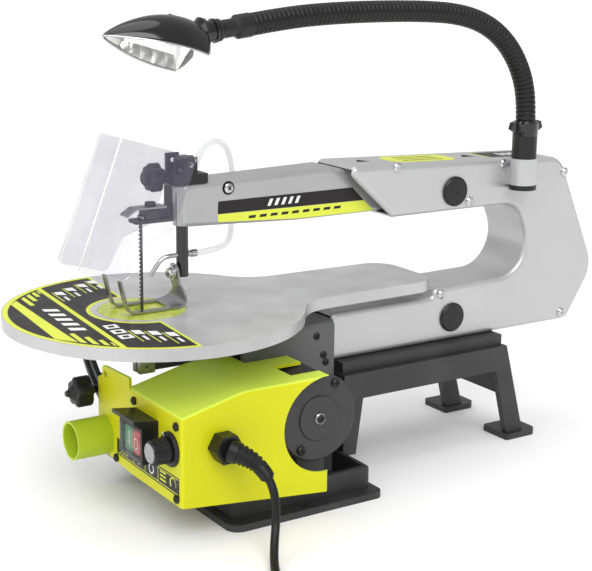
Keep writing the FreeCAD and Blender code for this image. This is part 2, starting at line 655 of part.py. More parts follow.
def build_table():
    low = table_top - rim_height
    reach = lobe_radius + neck_round
    side = neck_half + neck_round
    round_x = lobe_x + root(reach * reach - side * side)
    touch_x = lobe_x + (round_x - lobe_x) * lobe_radius / reach
    touch_y = side * lobe_radius / reach
    lobe = rod("table_lobe", "z", lobe_radius, low, table_top, lobe_x, 0)
    tail = prism("table_tail", "z", low, table_top,
                 [(touch_x, -touch_y), (round_x, -touch_y), (round_x, -neck_half), (tail_end_x, -neck_half + 3, 24),
                  (tail_end_x, neck_half - 3, 24), (round_x, neck_half), (round_x, touch_y), (touch_x, touch_y),
                  (lobe_x + 20, 40), (lobe_x + 20, -40)])
    corners = [rod("table_corner_%d" % i, "z", neck_round, low - 1, table_top + 1, round_x, y)
               for i, y in enumerate([-side, side])]
    plate = cut("table_outline", fused("table_raw", lobe, tail), *corners)
    under = table_top - plate_height
    pocket = cut("table_pocket", rod("table_pocket_outer", "z", lobe_radius - 9, low - 1, under, lobe_x, 0),
                 rod("table_pocket_inner", "z", insert_radius + 7, low - 2, under + 1, blade_x, 0),
                 *[block("table_rib_%d" % i, (lobe_x - 125, lobe_x + 125), (y - 2, y + 2), (low - 2, under + 1))
                   for i, y in enumerate([-62, 0, 62])],
                 block("table_cross_rib", (-203, -198), (-125, 125), (low - 2, under + 1)))
    tail_pocket = block("table_tail_pocket", (touch_x + 14, tail_end_x - 14), (-36, 36), (low - 1, under))
    seat = rod("table_seat", "z", insert_radius + 0.3, table_top - insert_height, table_top + 1, blade_x, 0)
    mouth = rod("table_mouth", "z", insert_radius - 5, low - 1, table_top, blade_x, 0)
    node("table_plate", cut("table_plate_cut", plate, pocket, tail_pocket, seat, mouth))

    disc = rod("insert_disc", "z", insert_radius, table_top - insert_height, table_top, blade_x, 0)
    blade_hole = rod("insert_hole", "z", 6, table_top - 10, table_top + 1, blade_x, 0)
    blade_slot = block("insert_slot", (blade_x - 12, blade_x), (-3.6, 3.6), (table_top - 10, table_top + 1))
    node("table_insert", cut("insert_cut", disc, blade_hole, blade_slot))


def tilt_sector(name, radius, low, high, start, span):
    """Sector about the tilt axis; angles are measured from straight down towards +Y."""
    item = rod(name, "x", radius, low, high, 0, table_top, span)
    turn = Rotation(Vector(1, 0, 0), plain(start) - 90) * Rotation(Vector(0, 1, 0), 90) * Rotation(Vector(0, 0, 1), 90)
    item.Placement = Placement(item.Placement.Base, turn)
    return item


def tilt_point(angle):
    """Point on the lock stud's circle, as (y, z)."""
    turn = math.radians(angle)
    return tilt_radius * math.sin(turn), table_top - tilt_radius * math.cos(turn)


def build_tilt():
    low, high = -203, -198.5
    start = plain(tilt_stud_angle)
    span = plain(tilt_span)
    plate = tilt_sector("trunnion_plate", tilt_radius + 8, low, high, start - 6, span + 15)
    above = block("trunnion_above", (low - 1, high + 1), (-130, 130), (table_top - rim_height, table_top + 90))
    inner = tilt_sector("trunnion_inner", tilt_radius - 8, low - 1, high + 1, start - 10, 38)
    slot = cut("trunnion_slot", tilt_sector("slot_outer", tilt_radius + 4.2, low - 1, high + 1, start, span),
               rod("slot_inner", "x", tilt_radius - 4.2, low - 2, high + 2, 0, table_top))
    ends = [rod("slot_end_%d" % i, "x", 4.2, low - 1, high + 1, *tilt_point(angle))
            for i, angle in enumerate([start, start + span])]
    node("trunnion", cut("trunnion_cut", plate, above, inner, fused("trunnion_slot_all", slot, *ends)))

    y, z = tilt_point(start)
    upright = prism("tilt_upright", "x", -196, -191, [(42, 25), (42, z + 12, 8), (66, z + 12, 8), (66, 25)])
    foot = block("tilt_foot", (-196, -146), (42, 66), (25, 30))
    hole = rod("tilt_hole", "x", 3.9, -198, -189, y, z)
    node("tilt_bracket", cut("tilt_bracket_cut", fused("tilt_bracket_body", upright, foot), hole))

    hub = turned("tilt_hub", [(0, 0), (3.5, 0), (3.5, 12.5), (6.4, 12.5), (6.4, 20), (0, 20)], -191, y, z,
                 Vector(0, 1, 0), -90)
    lobes = [rod("tilt_lobe_%d" % i, "x", 5.8, -227, -213, y + 8 * math.cos(math.radians(60 * i)),
                 z + 8 * math.sin(math.radians(60 * i))) for i in range(6)]
    core = rod("tilt_core", "x", 10, -228, -211, y, z)
    tip = cone("tilt_tip", "x", 2.5, 6, -234, -228, y, z)
    node("tilt_knob", fused("tilt_knob_body", hub, core, tip, *lobes))


# ---------------------------------------------------------------- control cover and its fittings

def build_cover():
    bottom_front, bottom_rear, rear = 33, 18.5, -67
    outline = [(cover_front, bottom_front), (rear, bottom_rear), (rear, 121), (-150, 121.5, 80),
               (cover_front, 108, 3)]
    outer = prism("cover_outer", "y", cover_near, -14, outline)
    round_edges(outer, 2.8, lambda edge: on_plane(edge, "Y", plain(cover_near)) and edge.BoundBox.ZMax > 100)

    inside = prism("cover_inside", "y", cover_near + cover_wall, -13,
                   [(cover_front + cover_wall, 20), (rear + 1, 10), (rear + 1, 121 - cover_wall),
                    (-150, 121.5 - cover_wall, 78), (cover_front + cover_wall, 105.4)])
    outer = cut("cover_shell", outer, inside)
    panel = prism("cover_panel", "x", cover_front, cover_front + cover_wall,
                  [(-16, bottom_front), (-16, 117, 2), (36, 115, 4), (36, 106), (45, 102, 3), (45, bottom_front + 4, 4)])
    motor_cut = rod("cover_motor_cut", "y", 41.7, cover_near - 3, -90, motor_x, motor_z - 2)
    notch = block("cover_notch", (-95, rear + 1), (-90, -62), (100, 130))
    beside_drive = block("cover_beside_drive", (-110.3, rear + 1), (-40.3, -13), (0, 130))
    port_hole = rod("cover_port_hole", "x", 11, cover_front - 2, cover_front + 4, port_y, port_z)
    switch_hole = block("cover_switch_hole", (-210, -200), (-61, -35), (65, 85))
    dial_hole = rod("cover_dial_hole", "x", 4.5, -210, -200, dial_y, dial_z)
    gland_hole = rod("cover_gland_hole", "y", 8.1, cover_near - 2, cover_near + 5, -171, 80)
    tab_hole = rod("cover_tab_hole", "x", 3.2, -210, -200, 30, 108)
    body = fused("cover_body", outer, panel)
    node("control_cover", cut("cover_cut", body, motor_cut, notch, beside_drive, port_hole, switch_hole, dial_hole,
                              gland_hole, tab_hole))

    port = rod("port_tube", "x", 17, -240, cover_front, port_y, port_z)
    bore = rod("port_bore", "x", 15, -242, cover_front + 1, port_y, port_z)
    node("dust_port", cut("dust_port_cut", port, bore))


def build_switch():
    front, back = -222, -207
    low_y, high_y = -68, -28
    case = block("switch_case", (front, back), (low_y, high_y), (60, 93))
    well = block("switch_well", (front - 1, back - 1.5), (low_y + 3, high_y - 3), (63, 87))
    hood = prism("switch_hood", "y", low_y, high_y, [(back, 90), (back, 95), (-229, 98), (-229, 95), (-222, 90)])
    rear = block("switch_rear", (back, -184), (-61, -35), (65, 85))
    divider = block("switch_divider", (-220, back - 1), (-49.5, -47.5), (62, 88))
    node("switch_body", fused("switch_body_all", cut("switch_open", case, well), hood, rear, divider))
    # two push keys side by side: the on key lies flush, the off key stands prouder
    node("button_on", block("key_on", (-219, -212), (-47.2, -31.3), (63.3, 86.7)))
    key_off = prism("key_off_body", "y", -64.7, -49.8,
                    [(-212, 63.3), (-212, 86.7), (-220, 86.7, 2), (-222, 75, 10), (-220, 63.3, 2)])
    node("button_off", key_off)

    skirt = [(4.6, 0), (14.5, 0), (14.5, 1.5), (13.2, 3.2), (4.6, 3.2)]
    node("dial_skirt", turned("dial_skirt_body", skirt, cover_front, dial_y, dial_z, Vector(0, 1, 0), -90))
    knob = [(0, -16), (3, -16), (3, 3.6), (11, 3.6), (10.4, 7), (9.6, 18), (8.8, 19), (0, 19)]
    node("speed_knob", turned("speed_knob_body", knob, cover_front, dial_y, dial_z, Vector(0, 1, 0), -90))

    board = block("board_plate", (-196, -194.4), (-103, -70), (46, 100))
    pot = block("board_pot", (-194.4, -187), (-97, -81), (70, 86))
    chip = block("board_sink", (-194.4, -180), (-100, -74), (88, 98))
    hole = rod("board_hole", "x", 3.3, -198, -186, dial_y, dial_z)
    node("control_board", cut("board_cut", fused("board_all", board, pot, chip), hole))


def build_cable():
    """Gland, boot and power cord; the unseen length is put away as a coil beside the saw."""
    x, z = -171, 80
    face = plain(cover_near) - 14
    nut = prism("gland_nut", "y", cover_near - 14, cover_near,
                [(x + 13 * math.cos(math.radians(a)), z + 13 * math.sin(math.radians(a))) for a in range(0, 360, 60)])
    neck = rod("gland_neck", "y", 8, cover_near, cover_near + 10, x, z)
    bore = rod("gland_bore", "y", 3.6, -130, -90, x, z)
    node("cable_gland", cut("gland_cut", fused("gland_body", nut, neck), bore))

    # the boot droops towards the bench and the cord runs out through it
    droop = Vector(0.593, -0.709, -0.377).normalize()
    boot = bind(doc.addObject("Part::Cone", "boot_cone"), Radius1=10, Radius2=5.4, Height=41)
    boot.Placement = Placement(Vector(x, face, z) - droop * 8, Rotation(Vector(0, 0, 1), droop))
    node("cord_boot", cut("boot_cut", boot, block("boot_behind", (x - 30, x + 30), (face, face + 30), (z - 30, z + 30))))

    floor = cord_radius + 0.1
    route = [(x, face, z), (-162.9, -130.7, 76.9), (-155.1, -140, 69.9), (-150.2, -149.1, 58.3), (-149.7, -155.1, 44.1),
             (-151.3, -157.9, 28.9), (-156.7, -164.4, 16.5), (-164.4, -176, 8.4), (-172, -190, floor),
             (-178.5, -208, floor), (-177, -230, floor), (-168, -252, floor), (-153.5, -275, floor)]
    lead = tube("power_cord_lead", route, cord_radius)
    coil_x, coil_y, coil_radius = -197, -288, 40
    tail_z = 17.9
    tail = tube("power_cord_tail", [(-177, -322.6, tail_z), (-202, -337, 17.5), (-230, -337, 17)], cord_radius)
    node("power_cord", group("power_cord_pair", lead, tail))
    node("cord_coil", cut("coil_ring", rod("coil_outer", "z", coil_radius + 11, 0.1, 21.5, coil_x, coil_y),
                          rod("coil_inner", "z", coil_radius - 11, -1, 23, coil_x, coil_y)))
    plug_x, plug_y = -256, -337
    head = prism("plug_head", "z", 0.1, 34, [(plug_x - 26, plug_y - 18, 10), (plug_x, plug_y - 18, 6),
                                             (plug_x, plug_y + 18, 6), (plug_x - 26, plug_y + 18, 10)])
    sleeve = cone("plug_sleeve", "x", 9, 5, plug_x - 1, plug_x + 26, plug_y, 17)
    pins = [block("plug_pin_%d" % i, (plug_x - 45, plug_x - 25), (plug_y + y - 2, plug_y + y + 2), (14, 20))
            for i, y in enumerate([-11, 11])]
    node("plug", fused("plug_all", head, sleeve, *pins))


# ---------------------------------------------------------------- nose parts, guard and hold-down

def build_nose():
    mount = block("nose_mount", (-164, -132), (-arm_half, arm_half), (275, 283))
    post_room = rod("nose_post_room", "z", post_radius + 0.08, 270, 290, post_x, post_y)
    thread = rod("nose_thread", "x", 3.1, -170, -150, 3, 279.5)
    ears = [block("nose_ear_%d" % i, (-154, -142), limits, (282, 297))
            for i, limits in enumerate([(-arm_half, -arm_half + 3.2), (arm_half - 3.2, arm_half)])]
    body = fused("nose_mount_body", mount, *ears)
    ear_bore = rod("nose_ear_bore", "y", 2.05, -20, 20, -148, 291)
    node("nose_bracket", cut("nose_mount_cut", body, post_room, thread, ear_bore))

    lock_z = 279.5
    lobes = [rod("lock_lobe_%d" % i, "x", 4.5, -180, -168, 3 + 7.5 * math.cos(math.radians(60 * i)),
                 lock_z + 7.5 * math.sin(math.radians(60 * i))) for i in range(6)]
    core = rod("lock_core", "x", 9, -182, -166, 3, lock_z)
    stem = rod("lock_stem", "x", 3, -166, -155, 3, lock_z)
    node("lock_knob", fused("lock_knob_body", core, stem, *lobes))

    tension = [(0, 0), (3, 0), (3, 2.5), (8.2, 2.5), (8.2, 9), (6.2, 12), (0, 12)]
    node("tension_knob", turned("tension_knob_body", tension, -142, 5, 283.3))


def build_holddown():
    node("holddown_post", rod("post_bar", "z", post_radius, 196, 288, post_x, post_y))

    # air tube through the post: a barb behind, a bent nozzle in front that points at the blade
    level = 214.5
    route = [(-138, post_y, level), (-158, post_y, level), (-170, -7, level - 1), (-181, -6, 199)]
    node("blower_tube", tube("blower_tube_body", route, 1.9))

    bolt_z = 200
    screw = [(0, -9), (2.4, -9), (2.4, 0.2), (6, 0.2), (6, 1.4), (4, 1.6), (4, 4.4), (0, 4.8)]
    node("foot_screw", turned("foot_screw_body", screw, post_x - post_radius - 3.4, post_y, bolt_z,
                              Vector(0, 1, 0), -90))

    # presser foot: two prongs around the blade, joined behind it by a plate with an arc slot for the screw.
    # The slot is centred on the tilt axis, so the foot tilts with the table.
    rest_z = table_top + 0.5
    sole = prism("foot_sole", "z", rest_z, rest_z + 1.8,
                 [(-208, -17.6, 3), (-153, -17.6, 10), (-153, 17.6, 10), (-208, 17.6, 3)])
    middle = prism("foot_gap", "z", rest_z - 1, rest_z + 3, [(-212, -11.6), (-168, -11.6, 6), (-168, 11.6, 6), (-212, 11.6)])
    prongs = [prism("foot_prong_%d" % i, "y", y, y + 6, [(-209, rest_z), (-207, rest_z), (-212, rest_z + 29),
                                                         (-214, rest_z + 29)]) for i, y in enumerate([-17.6, 11.6])]
    riser = prism("foot_riser", "x", -160.5, -158.9,
                  [(-20, rest_z + 1), (-34, 180, 4), (-30, 192, 6), (-12, 207, 5), (-2, 207, 5), (6, 190, 12),
                   (20, rest_z + 1)])
    radius = math.hypot(plain(post_y), bolt_z - plain(table_top))
    start = math.degrees(math.atan2(bolt_z - plain(table_top), plain(post_y)))
    slot = cut("foot_slot", tilt_sector("foot_slot_outer", radius + 2.8, -163, -157, start + 90, tilt_span),
               rod("foot_slot_inner", "x", radius - 2.8, -164, -156, 0, table_top))
    ends = []
    for i, turn in enumerate([0, plain(tilt_span)]):
        angle = math.radians(start + turn)
        ends.append(rod("foot_slot_end_%d" % i, "x", 2.8, -163, -157, radius * math.cos(angle),
                        plain(table_top) + radius * math.sin(angle)))
    body = fused("foot_body", cut("foot_sole_open", sole, middle), riser, *prongs)
    node("presser_foot", cut("foot_cut", body, fused("foot_slot_all", slot, *ends)))


def build_guard():
    """Clear sheet bent to a U, open to the rear, with its hinge pin at the nose."""
    side = [(-213, 318, 4), (-143, 297, 4), (-166, 238, 9), (-193, 229, 6), (-209, 201, 5), (-253, 214, 4)]
    near = prism("guard_near", "y", -guard_half - guard_sheet, -guard_half, side)
    far = prism("guard_far", "y", guard_half, guard_half + guard_sheet, side)
    front = prism("guard_front", "y", -guard_half - guard_sheet, guard_half + guard_sheet,
                  [(-213, 317.5), (-211, 317), (-250.8, 214.2), (-252.6, 214.8)])
    pins = [rod("guard_pin_%d" % i, "y", 2, low, high, -148, 291)
            for i, (low, high) in enumerate([(-guard_half - guard_sheet, -arm_half + 3), (arm_half - 3, guard_half + guard_sheet)])]
    node("guard_panel", fused("guard_sheet_body", near, far, front, *pins))


# ---------------------------------------------------------------- lamp

def build_lamp():
    barrel = rod("lamp_barrel", "z", 12.6, 248, 276, lamp_x, lamp_y)
    bracket = block("lamp_bracket", (lamp_x - 9, lamp_x + 9), (lamp_y, shell_near_y), (250, 267))
    bore = rod("lamp_bore", "z", 10.4, 252, 280, lamp_x, lamp_y)
    node("lamp_socket", cut("lamp_socket_cut", fused("lamp_socket_all", barrel, bracket), bore))

    sleeve = [(0, 0.2), (10.3, 0.2), (10.3, 24.4), (11.6, 24.4), (11.6, 47), (10, 49), (0, 49)]
    node("lamp_sleeve", turned("lamp_sleeve_body", sleeve, lamp_x, lamp_y, 252))

    head_x, head_z = -110, 405
    neck = [(lamp_x, lamp_y, 301), (lamp_x, lamp_y, 325), (184, lamp_y, 354), (166, lamp_y, 381), (140, lamp_y, 400),
            (107, lamp_y, 410), (66, lamp_y, 413), (20, lamp_y, 413.6), (-30, lamp_y, 412.8), (-74, lamp_y, 410),
            (head_x, lamp_y, head_z)]
    node("gooseneck", tube("gooseneck_tube", neck, neck_radius))

    joint = [(0, 0), (9.8, 0), (9.8, 12), (7.4, 15), (7.4, 26), (9, 28), (9, 31), (0, 31)]
    node("lamp_neck", turned("lamp_neck_body", joint, head_x, lamp_y, head_z, Vector(0, 1, 0), -97))


# the head's tip is pitched up and its opening is rolled towards the saw's near side
head_frame = Placement(Vector(-197.7, plain(lamp_y) + 1.4, 391.1),
                       Rotation(Vector(0, 1, 0), 16.8) * Rotation(Vector(1, 0, 0), -20))


def in_head(item, x=0, y=0, z=0, turn=None):
    """Place an item in the lamp head's own frame, whose X runs to the gooseneck and Z up."""
    item.Placement = head_frame.multiply(Placement(Vector(x, y, z), turn or Rotation()))
    return item


def dome(name, grow):
    item = bind(doc.addObject("Part::Ellipsoid", name), Radius1=30 + grow, Radius2=43 + grow, Radius3=27 + grow)
    item.Angle1 = -90
    item.Angle2 = 90
    item.Angle3 = 360
    return in_head(item)


def cuboid(name, length, width, height):
    return bind(doc.addObject("Part::Box", name), Length=length, Width=width, Height=height)


def build_lamp_head():
    below = in_head(cuboid("head_below", 120, 80, 60), -60, -40, -64)
    shell = cut("head_hollow", cut("head_dome", dome("head_outer", 0), below), dome("head_inner", -2))
    collar = bind(doc.addObject("Part::Cylinder", "head_collar"), Radius=8.5, Height=25)
    put(collar, -140.8, lamp_y, 401.2, Vector(0, 1, 0), -97)
    collar = cut("head_collar_cut", collar, dome("head_collar_inner", -2))
    key_room = in_head(cuboid("head_key_room", 13, 9, 14), 12, -4.5, 19)
    node("lamp_shell", cut("head_key_cut", fused("head_with_collar", shell, collar), key_room))

    bowl = in_head(turned("reflector_body", [(8, 15), (31, -5.6), (33.5, -5.6), (10, 17), (8, 17)]), -4, 0, 4)
    node("reflector", common("reflector_fit", bowl, dome("head_fit", -2.3)))
    bulb = [(0, -1), (3, -0.5), (6, 3), (6.5, 8), (4, 14), (0, 14)]
    node("bulb", in_head(turned("bulb_body", bulb), -4, 0, 4))
    pane = in_head(bind(doc.addObject("Part::Cylinder", "lens_pane"), Radius=60, Height=1.6), 0, 0, -3.8)
    node("lens", common("lens_fit", pane, dome("lens_edge", -2.3)))
    node("lamp_switch", in_head(cuboid("lamp_key", 12.2, 8.2, 4.5), 12.4, -4.1, 24.2))


# ---------------------------------------------------------------- blower and screws

def build_blower():
    """Bellows between the housing and the upper rocker arm, which pumps air for the nozzle."""
    profile = [(0, 0), (11, 0), (11, 2)]
    for i in range(4):
        profile += [(8, 3 + 3 * i), (11, 4.5 + 3 * i)]
    profile += [(8, 15.5), (0, 15.5)]
    node("bellows", turned("bellows_body", profile, 77, -14, 233))

    hose = [(-137.8, post_y, 214.5), (-122, -7, 214.6), (-106, -1, 216), (-95, 9, 221), (-88, 19, 231),
            (-84, 26, 246), (-82, 28, 263), (-84, 26, 281), (-91, 21, 296), (-104, 15, 305), (-118, 11, 302),
            (-127, 9.5, 292), (-129, 9.5, 283)]
    node("air_hose", tube("air_hose_tube", hose, 2.6, 1.9))


def screw(name, place, axis, angle, head=4.2):
    profile = [(0, -8), (1.8, -8), (1.8, 0), (head, 0), (head, 1.6), (head - 1.4, 2.6), (0, 2.6)]
    body = turned(name, profile, *place, axis, angle)
    cross = [block(name + "_slot%d" % i, x, y, (1.7, 4)) for i, (x, y) in
             enumerate([((-2.2, 2.2), (-0.5, 0.5)), ((-0.5, 0.5), (-2.2, 2.2))])]
    tools = fused(name + "_cross", *cross)
    tools.Placement = body.Placement
    return cut(name + "_head", body, tools)


def build_screws():
    sideways = (Vector(1, 0, 0), 90)
    housing = [(52, 275.8), (177, 270), (137.6, 231.5 + 6), (256, 256), (107.7, 152.3), (262, 114)]
    placed = [screw("housing_screw_%d" % i, (x, shell_near_y, z), *sideways) for i, (x, z) in enumerate(housing)]
    node("housing_screws", group("housing_screw_set", *placed))
    front = [(-25.5, 100), (-99, 99.7), (9.8, 38.5), (-99, 39)]
    placed = [screw("cover_screw_%d" % i, (cover_front, y, z), Vector(0, 1, 0), -90, 3.6)
              for i, (y, z) in enumerate(front)]
    motor = [(-53.7, 109.5), (-87.6, 55.5)]
    placed += [screw("motor_screw_%d" % i, (x, -95.4, z), *sideways) for i, (x, z) in enumerate(motor)]
    placed.append(screw("motor_screw_mid", (motor_x, -97, motor_z), *sideways))
    node("cover_screws", group("cover_screw_set", *placed))


build_base()
build_housing()
build_arm_casting()
build_rockers()
build_pivots()
build_tension_rod()
build_blade()
build_blade_holders()
build_drive()
build_table()
build_tilt()
build_cover()
build_switch()
build_cable()
build_nose()
build_holddown()
build_guard()
build_lamp()
build_lamp_head()
build_blower()
build_screws()

# ---------------------------------------------------------------- checks and export

doc.recompute()
faults = [item.Name for item in doc.Objects if "Invalid" in item.State or "Error" in item.State]
for name, item in nodes.items():
    shape = item.Shape
    if shape.isNull() or not shape.isValid() or shape.Volume <= 0:
        faults.append(name)
if faults:
    raise RuntimeError("faulty objects: %s" % ", ".join(faults))
os.makedirs("parts", exist_ok=True)
for name, item in nodes.items():
    item.Shape.exportStep("parts/%s.step" % name)
print(len(nodes), "nodes written")
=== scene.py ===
import math
import bpy
import bmesh
from mathutils import Matrix, Quaternion, Vector


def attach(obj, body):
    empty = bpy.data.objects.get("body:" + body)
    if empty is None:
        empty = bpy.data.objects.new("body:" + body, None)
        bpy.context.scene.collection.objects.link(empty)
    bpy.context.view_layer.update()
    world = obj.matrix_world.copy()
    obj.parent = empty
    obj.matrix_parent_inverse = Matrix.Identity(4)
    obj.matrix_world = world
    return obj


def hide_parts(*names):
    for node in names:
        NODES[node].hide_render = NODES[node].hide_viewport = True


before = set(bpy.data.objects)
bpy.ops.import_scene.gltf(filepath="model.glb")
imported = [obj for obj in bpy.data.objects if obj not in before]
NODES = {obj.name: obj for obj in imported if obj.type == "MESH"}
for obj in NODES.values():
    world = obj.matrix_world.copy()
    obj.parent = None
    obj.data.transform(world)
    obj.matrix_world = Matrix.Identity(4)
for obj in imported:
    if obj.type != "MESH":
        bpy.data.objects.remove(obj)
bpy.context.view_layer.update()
MM = 0.001


def mm(*values):
    return Vector([v * MM for v in values])


# ---------------------------------------------------------------- materials

def new_material(name):
    material = bpy.data.materials.new(name)
    material.use_nodes = True
    tree = material.node_tree
    return material, tree, tree.nodes["Principled BSDF"]


def noise(tree, scale, detail=4.0, rough=0.6, stretch=(1, 1, 1)):
    coords = tree.nodes.new("ShaderNodeTexCoord")
    mapping = tree.nodes.new("ShaderNodeMapping")
    mapping.inputs["Scale"].default_value = stretch
    tree.links.new(coords.outputs["Object"], mapping.inputs["Vector"])
    node = tree.nodes.new("ShaderNodeTexNoise")
    node.inputs["Scale"].default_value = scale
    node.inputs["Detail"].default_value = detail
    node.inputs["Roughness"].default_value = rough
    tree.links.new(mapping.outputs["Vector"], node.inputs["Vector"])
    return node.outputs["Fac"]


def spread(tree, value, low, high, start=0.3, stop=0.7):
    node = tree.nodes.new("ShaderNodeMapRange")
    node.inputs["From Min"].default_value = start
    node.inputs["From Max"].default_value = stop
    node.inputs["To Min"].default_value = low
    node.inputs["To Max"].default_value = high
    tree.links.new(value, node.inputs["Value"])
    return node.outputs["Result"]


def finish(name, color, rough, metal=0.0, coat=0.0, grain=900.0, depth=0.0, vary=0.06, rough_vary=0.06,
           broad=14.0, stretch=(1, 1, 1), specular=0.5, spots=0.0, spot_scale=500.0, spot_color=(1, 1, 1)):
    """Opaque finish: broad and fine changes of tone, uneven gloss and fine relief."""
    material, tree, shader = new_material(name)
    broad_tone = spread(tree, noise(tree, broad, 3.0), 1 - vary, 1 + vary)
    fine_tone = spread(tree, noise(tree, grain, 3.0, 0.7, stretch), 1 - vary, 1 + vary)
    both = tree.nodes.new("ShaderNodeMath")
    both.operation = "MULTIPLY"
    tree.links.new(broad_tone, both.inputs[0])
    tree.links.new(fine_tone, both.inputs[1])
    tint = tree.nodes.new("ShaderNodeVectorMath")
    tint.operation = "SCALE"
    tint.inputs[0].default_value = color
    tree.links.new(both.outputs[0], tint.inputs["Scale"])
    outcome = tint.outputs[0]
    if spots:
        mix = tree.nodes.new("ShaderNodeMix")
        mix.data_type = "RGBA"
        mask = spread(tree, noise(tree, spot_scale, 2.0, 0.8), 0.0, spots, 0.58, 0.72)
        tree.links.new(mask, mix.inputs[0])
        tree.links.new(outcome, mix.inputs[6])
        mix.inputs[7].default_value = (*spot_color, 1)
        outcome = mix.outputs[2]
    tree.links.new(outcome, shader.inputs["Base Color"])
    tree.links.new(spread(tree, noise(tree, broad * 4, 4.0), max(rough - rough_vary, 0.02),
                          rough + rough_vary),
                   shader.inputs["Roughness"])
    shader.inputs["Metallic"].default_value = metal
    shader.inputs["Coat Weight"].default_value = coat
    shader.inputs["Coat Roughness"].default_value = 0.12
    shader.inputs["Specular IOR Level"].default_value = specular
    if depth:
        bump = tree.nodes.new("ShaderNodeBump")
        bump.inputs["Strength"].default_value = 0.6
        bump.inputs["Distance"].default_value = depth * MM
        tree.links.new(noise(tree, grain, 4.0, 0.65, stretch), bump.inputs["Height"])
        tree.links.new(bump.outputs["Normal"], shader.inputs["Normal"])
    return material


def clear(name, color, rough, alpha, vary=0.25, ior=1.49):
    """Clear plastic: mostly see-through, with faint haze and smears."""
    material, tree, shader = new_material(name)
    shader.inputs["Base Color"].default_value = (*color, 1)
    shader.inputs["IOR"].default_value = ior
    tree.links.new(spread(tree, noise(tree, 60.0, 4.0), rough, rough + 0.12), shader.inputs["Roughness"])
    tree.links.new(spread(tree, noise(tree, 25.0, 4.0), alpha * (1 - vary), alpha * (1 + vary)),
                   shader.inputs["Alpha"])
    material.surface_render_method = "BLENDED"
    return material


M = {
    "cast": finish("cast_black", (0.030, 0.030, 0.031), 0.46, grain=1100, depth=0.6, vary=0.30, broad=20,
                   specular=0.5),
    "silver": finish("silver_paint", (0.53, 0.53, 0.535), 0.35, metal=0.5, coat=0.1, grain=3000, depth=0.02,
                     vary=0.035),
    "silver_arm": finish("silver_paint_arm", (0.42, 0.42, 0.425), 0.34, metal=0.5, coat=0.1, grain=3000,
                         depth=0.02, vary=0.035),
    # painted light: a brighter, greener copy of the lime paint for the cover's top faces, which lie in the
    # table's shade
    "lime_top_painted_light": finish("lime_paint_top_painted_light", (0.70, 0.88, 0.085), 0.45, grain=2600, depth=0.015, vary=0.03,
                       specular=0.4),
    "table": finish("table_ground", (0.64, 0.64, 0.645), 0.38, metal=0.55, grain=900, depth=0.08, vary=0.16,
                    broad=18, spots=0.35, spot_scale=700, spot_color=(0.80, 0.81, 0.82)),
    "rim": finish("table_rim", (0.52, 0.52, 0.52), 0.34, metal=0.7, grain=500, depth=0.05, vary=0.10,
                  stretch=(1, 1, 8)),
    "lime": finish("lime_paint", (0.66, 0.66, 0.008), 0.40, grain=2600, depth=0.015, vary=0.03,
                   specular=0.25),
    "lime_port": finish("lime_plastic", (0.46, 0.60, 0.030), 0.40, specular=0.3, grain=2200, depth=0.02,
                        vary=0.04),
    "lime_label": finish("lime_label", (0.70, 0.76, 0.06), 0.45, grain=2000, vary=0.03),
    "black_label": finish("black_label", (0.014, 0.012, 0.012), 0.40, grain=2500, vary=0.12, specular=0.3),
    "white_ink": finish("white_ink", (0.85, 0.85, 0.84), 0.45, grain=2500, vary=0.03),
    "insert": finish("insert_plastic", (0.52, 0.60, 0.05), 0.28, coat=0.25, grain=90, vary=0.16, broad=40,
                     spots=0.35, spot_scale=60, spot_color=(0.72, 0.76, 0.38)),
    "housing": finish("drive_housing_paint", (0.11, 0.11, 0.112), 0.40, grain=1800, depth=0.03, vary=0.08,
                      specular=0.4),
    "dark": finish("dark_paint", (0.040, 0.040, 0.042), 0.42, grain=1800, depth=0.05, vary=0.10,
                   specular=0.4),
    "black": finish("black_plastic", (0.010, 0.010, 0.011), 0.38, grain=1600, depth=0.05, vary=0.14,
                    specular=0.4),
    "gloss": finish("black_gloss", (0.0035, 0.0035, 0.004), 0.09, coat=0.3, grain=2600, vary=0.12,
                    rough_vary=0.03),
    "rubber": finish("black_rubber", (0.006, 0.006, 0.0065), 0.40, grain=1400, depth=0.06, vary=0.15,
                     specular=0.35),
    "steel": finish("brushed_steel", (0.36, 0.36, 0.37), 0.30, metal=1.0, grain=700, depth=0.03, vary=0.12,
                    stretch=(1, 1, 6)),
    "blade": finish("blade_steel", (0.10, 0.10, 0.105), 0.35, metal=0.8, grain=900, vary=0.2),
    "chrome": finish("chrome", (0.60, 0.60, 0.61), 0.12, metal=1.0, grain=900, vary=0.05, rough_vary=0.04),
    "bright": finish("reflector_chrome", (0.88, 0.88, 0.88), 0.14, metal=1.0, grain=400, vary=0.03,
                     rough_vary=0.04),
    "brass": finish("brass_pins", (0.62, 0.45, 0.20), 0.3, metal=1.0, grain=900, vary=0.08),
    "red": finish("red_key", (0.50, 0.010, 0.014), 0.28, coat=0.2, grain=2000, vary=0.06),
    "green": finish("green_key", (0.02, 0.33, 0.10), 0.28, coat=0.2, grain=2000, vary=0.06),
    "board": finish("circuit_board", (0.02, 0.16, 0.06), 0.4, grain=600, vary=0.2),
    # near-black look for screw recesses, slots, seats and recessed arrows: painted shade
    "painted_recess_shade": finish("recess_painted_shade", (0.008, 0.008, 0.009), 0.7, grain=900, vary=0.2, specular=0.1),
    "clear": clear("clear_guard", (0.26, 0.25, 0.34), 0.04, 0.13),
    # near-white, almost opaque look for the clear guard's edges and folds: painted highlight
    "clear_edge_painted_highlight": clear("clear_edge_painted_highlight", (1.0, 1.0, 1.0), 0.15, 0.9),
    "hose": clear("clear_hose", (0.55, 0.55, 0.60), 0.10, 0.30),
    "lens": clear("lamp_lens", (0.97, 0.97, 0.97), 0.03, 0.12),
    "flap": clear("switch_flap", (0.40, 0.42, 0.43), 0.04, 0.10),
}

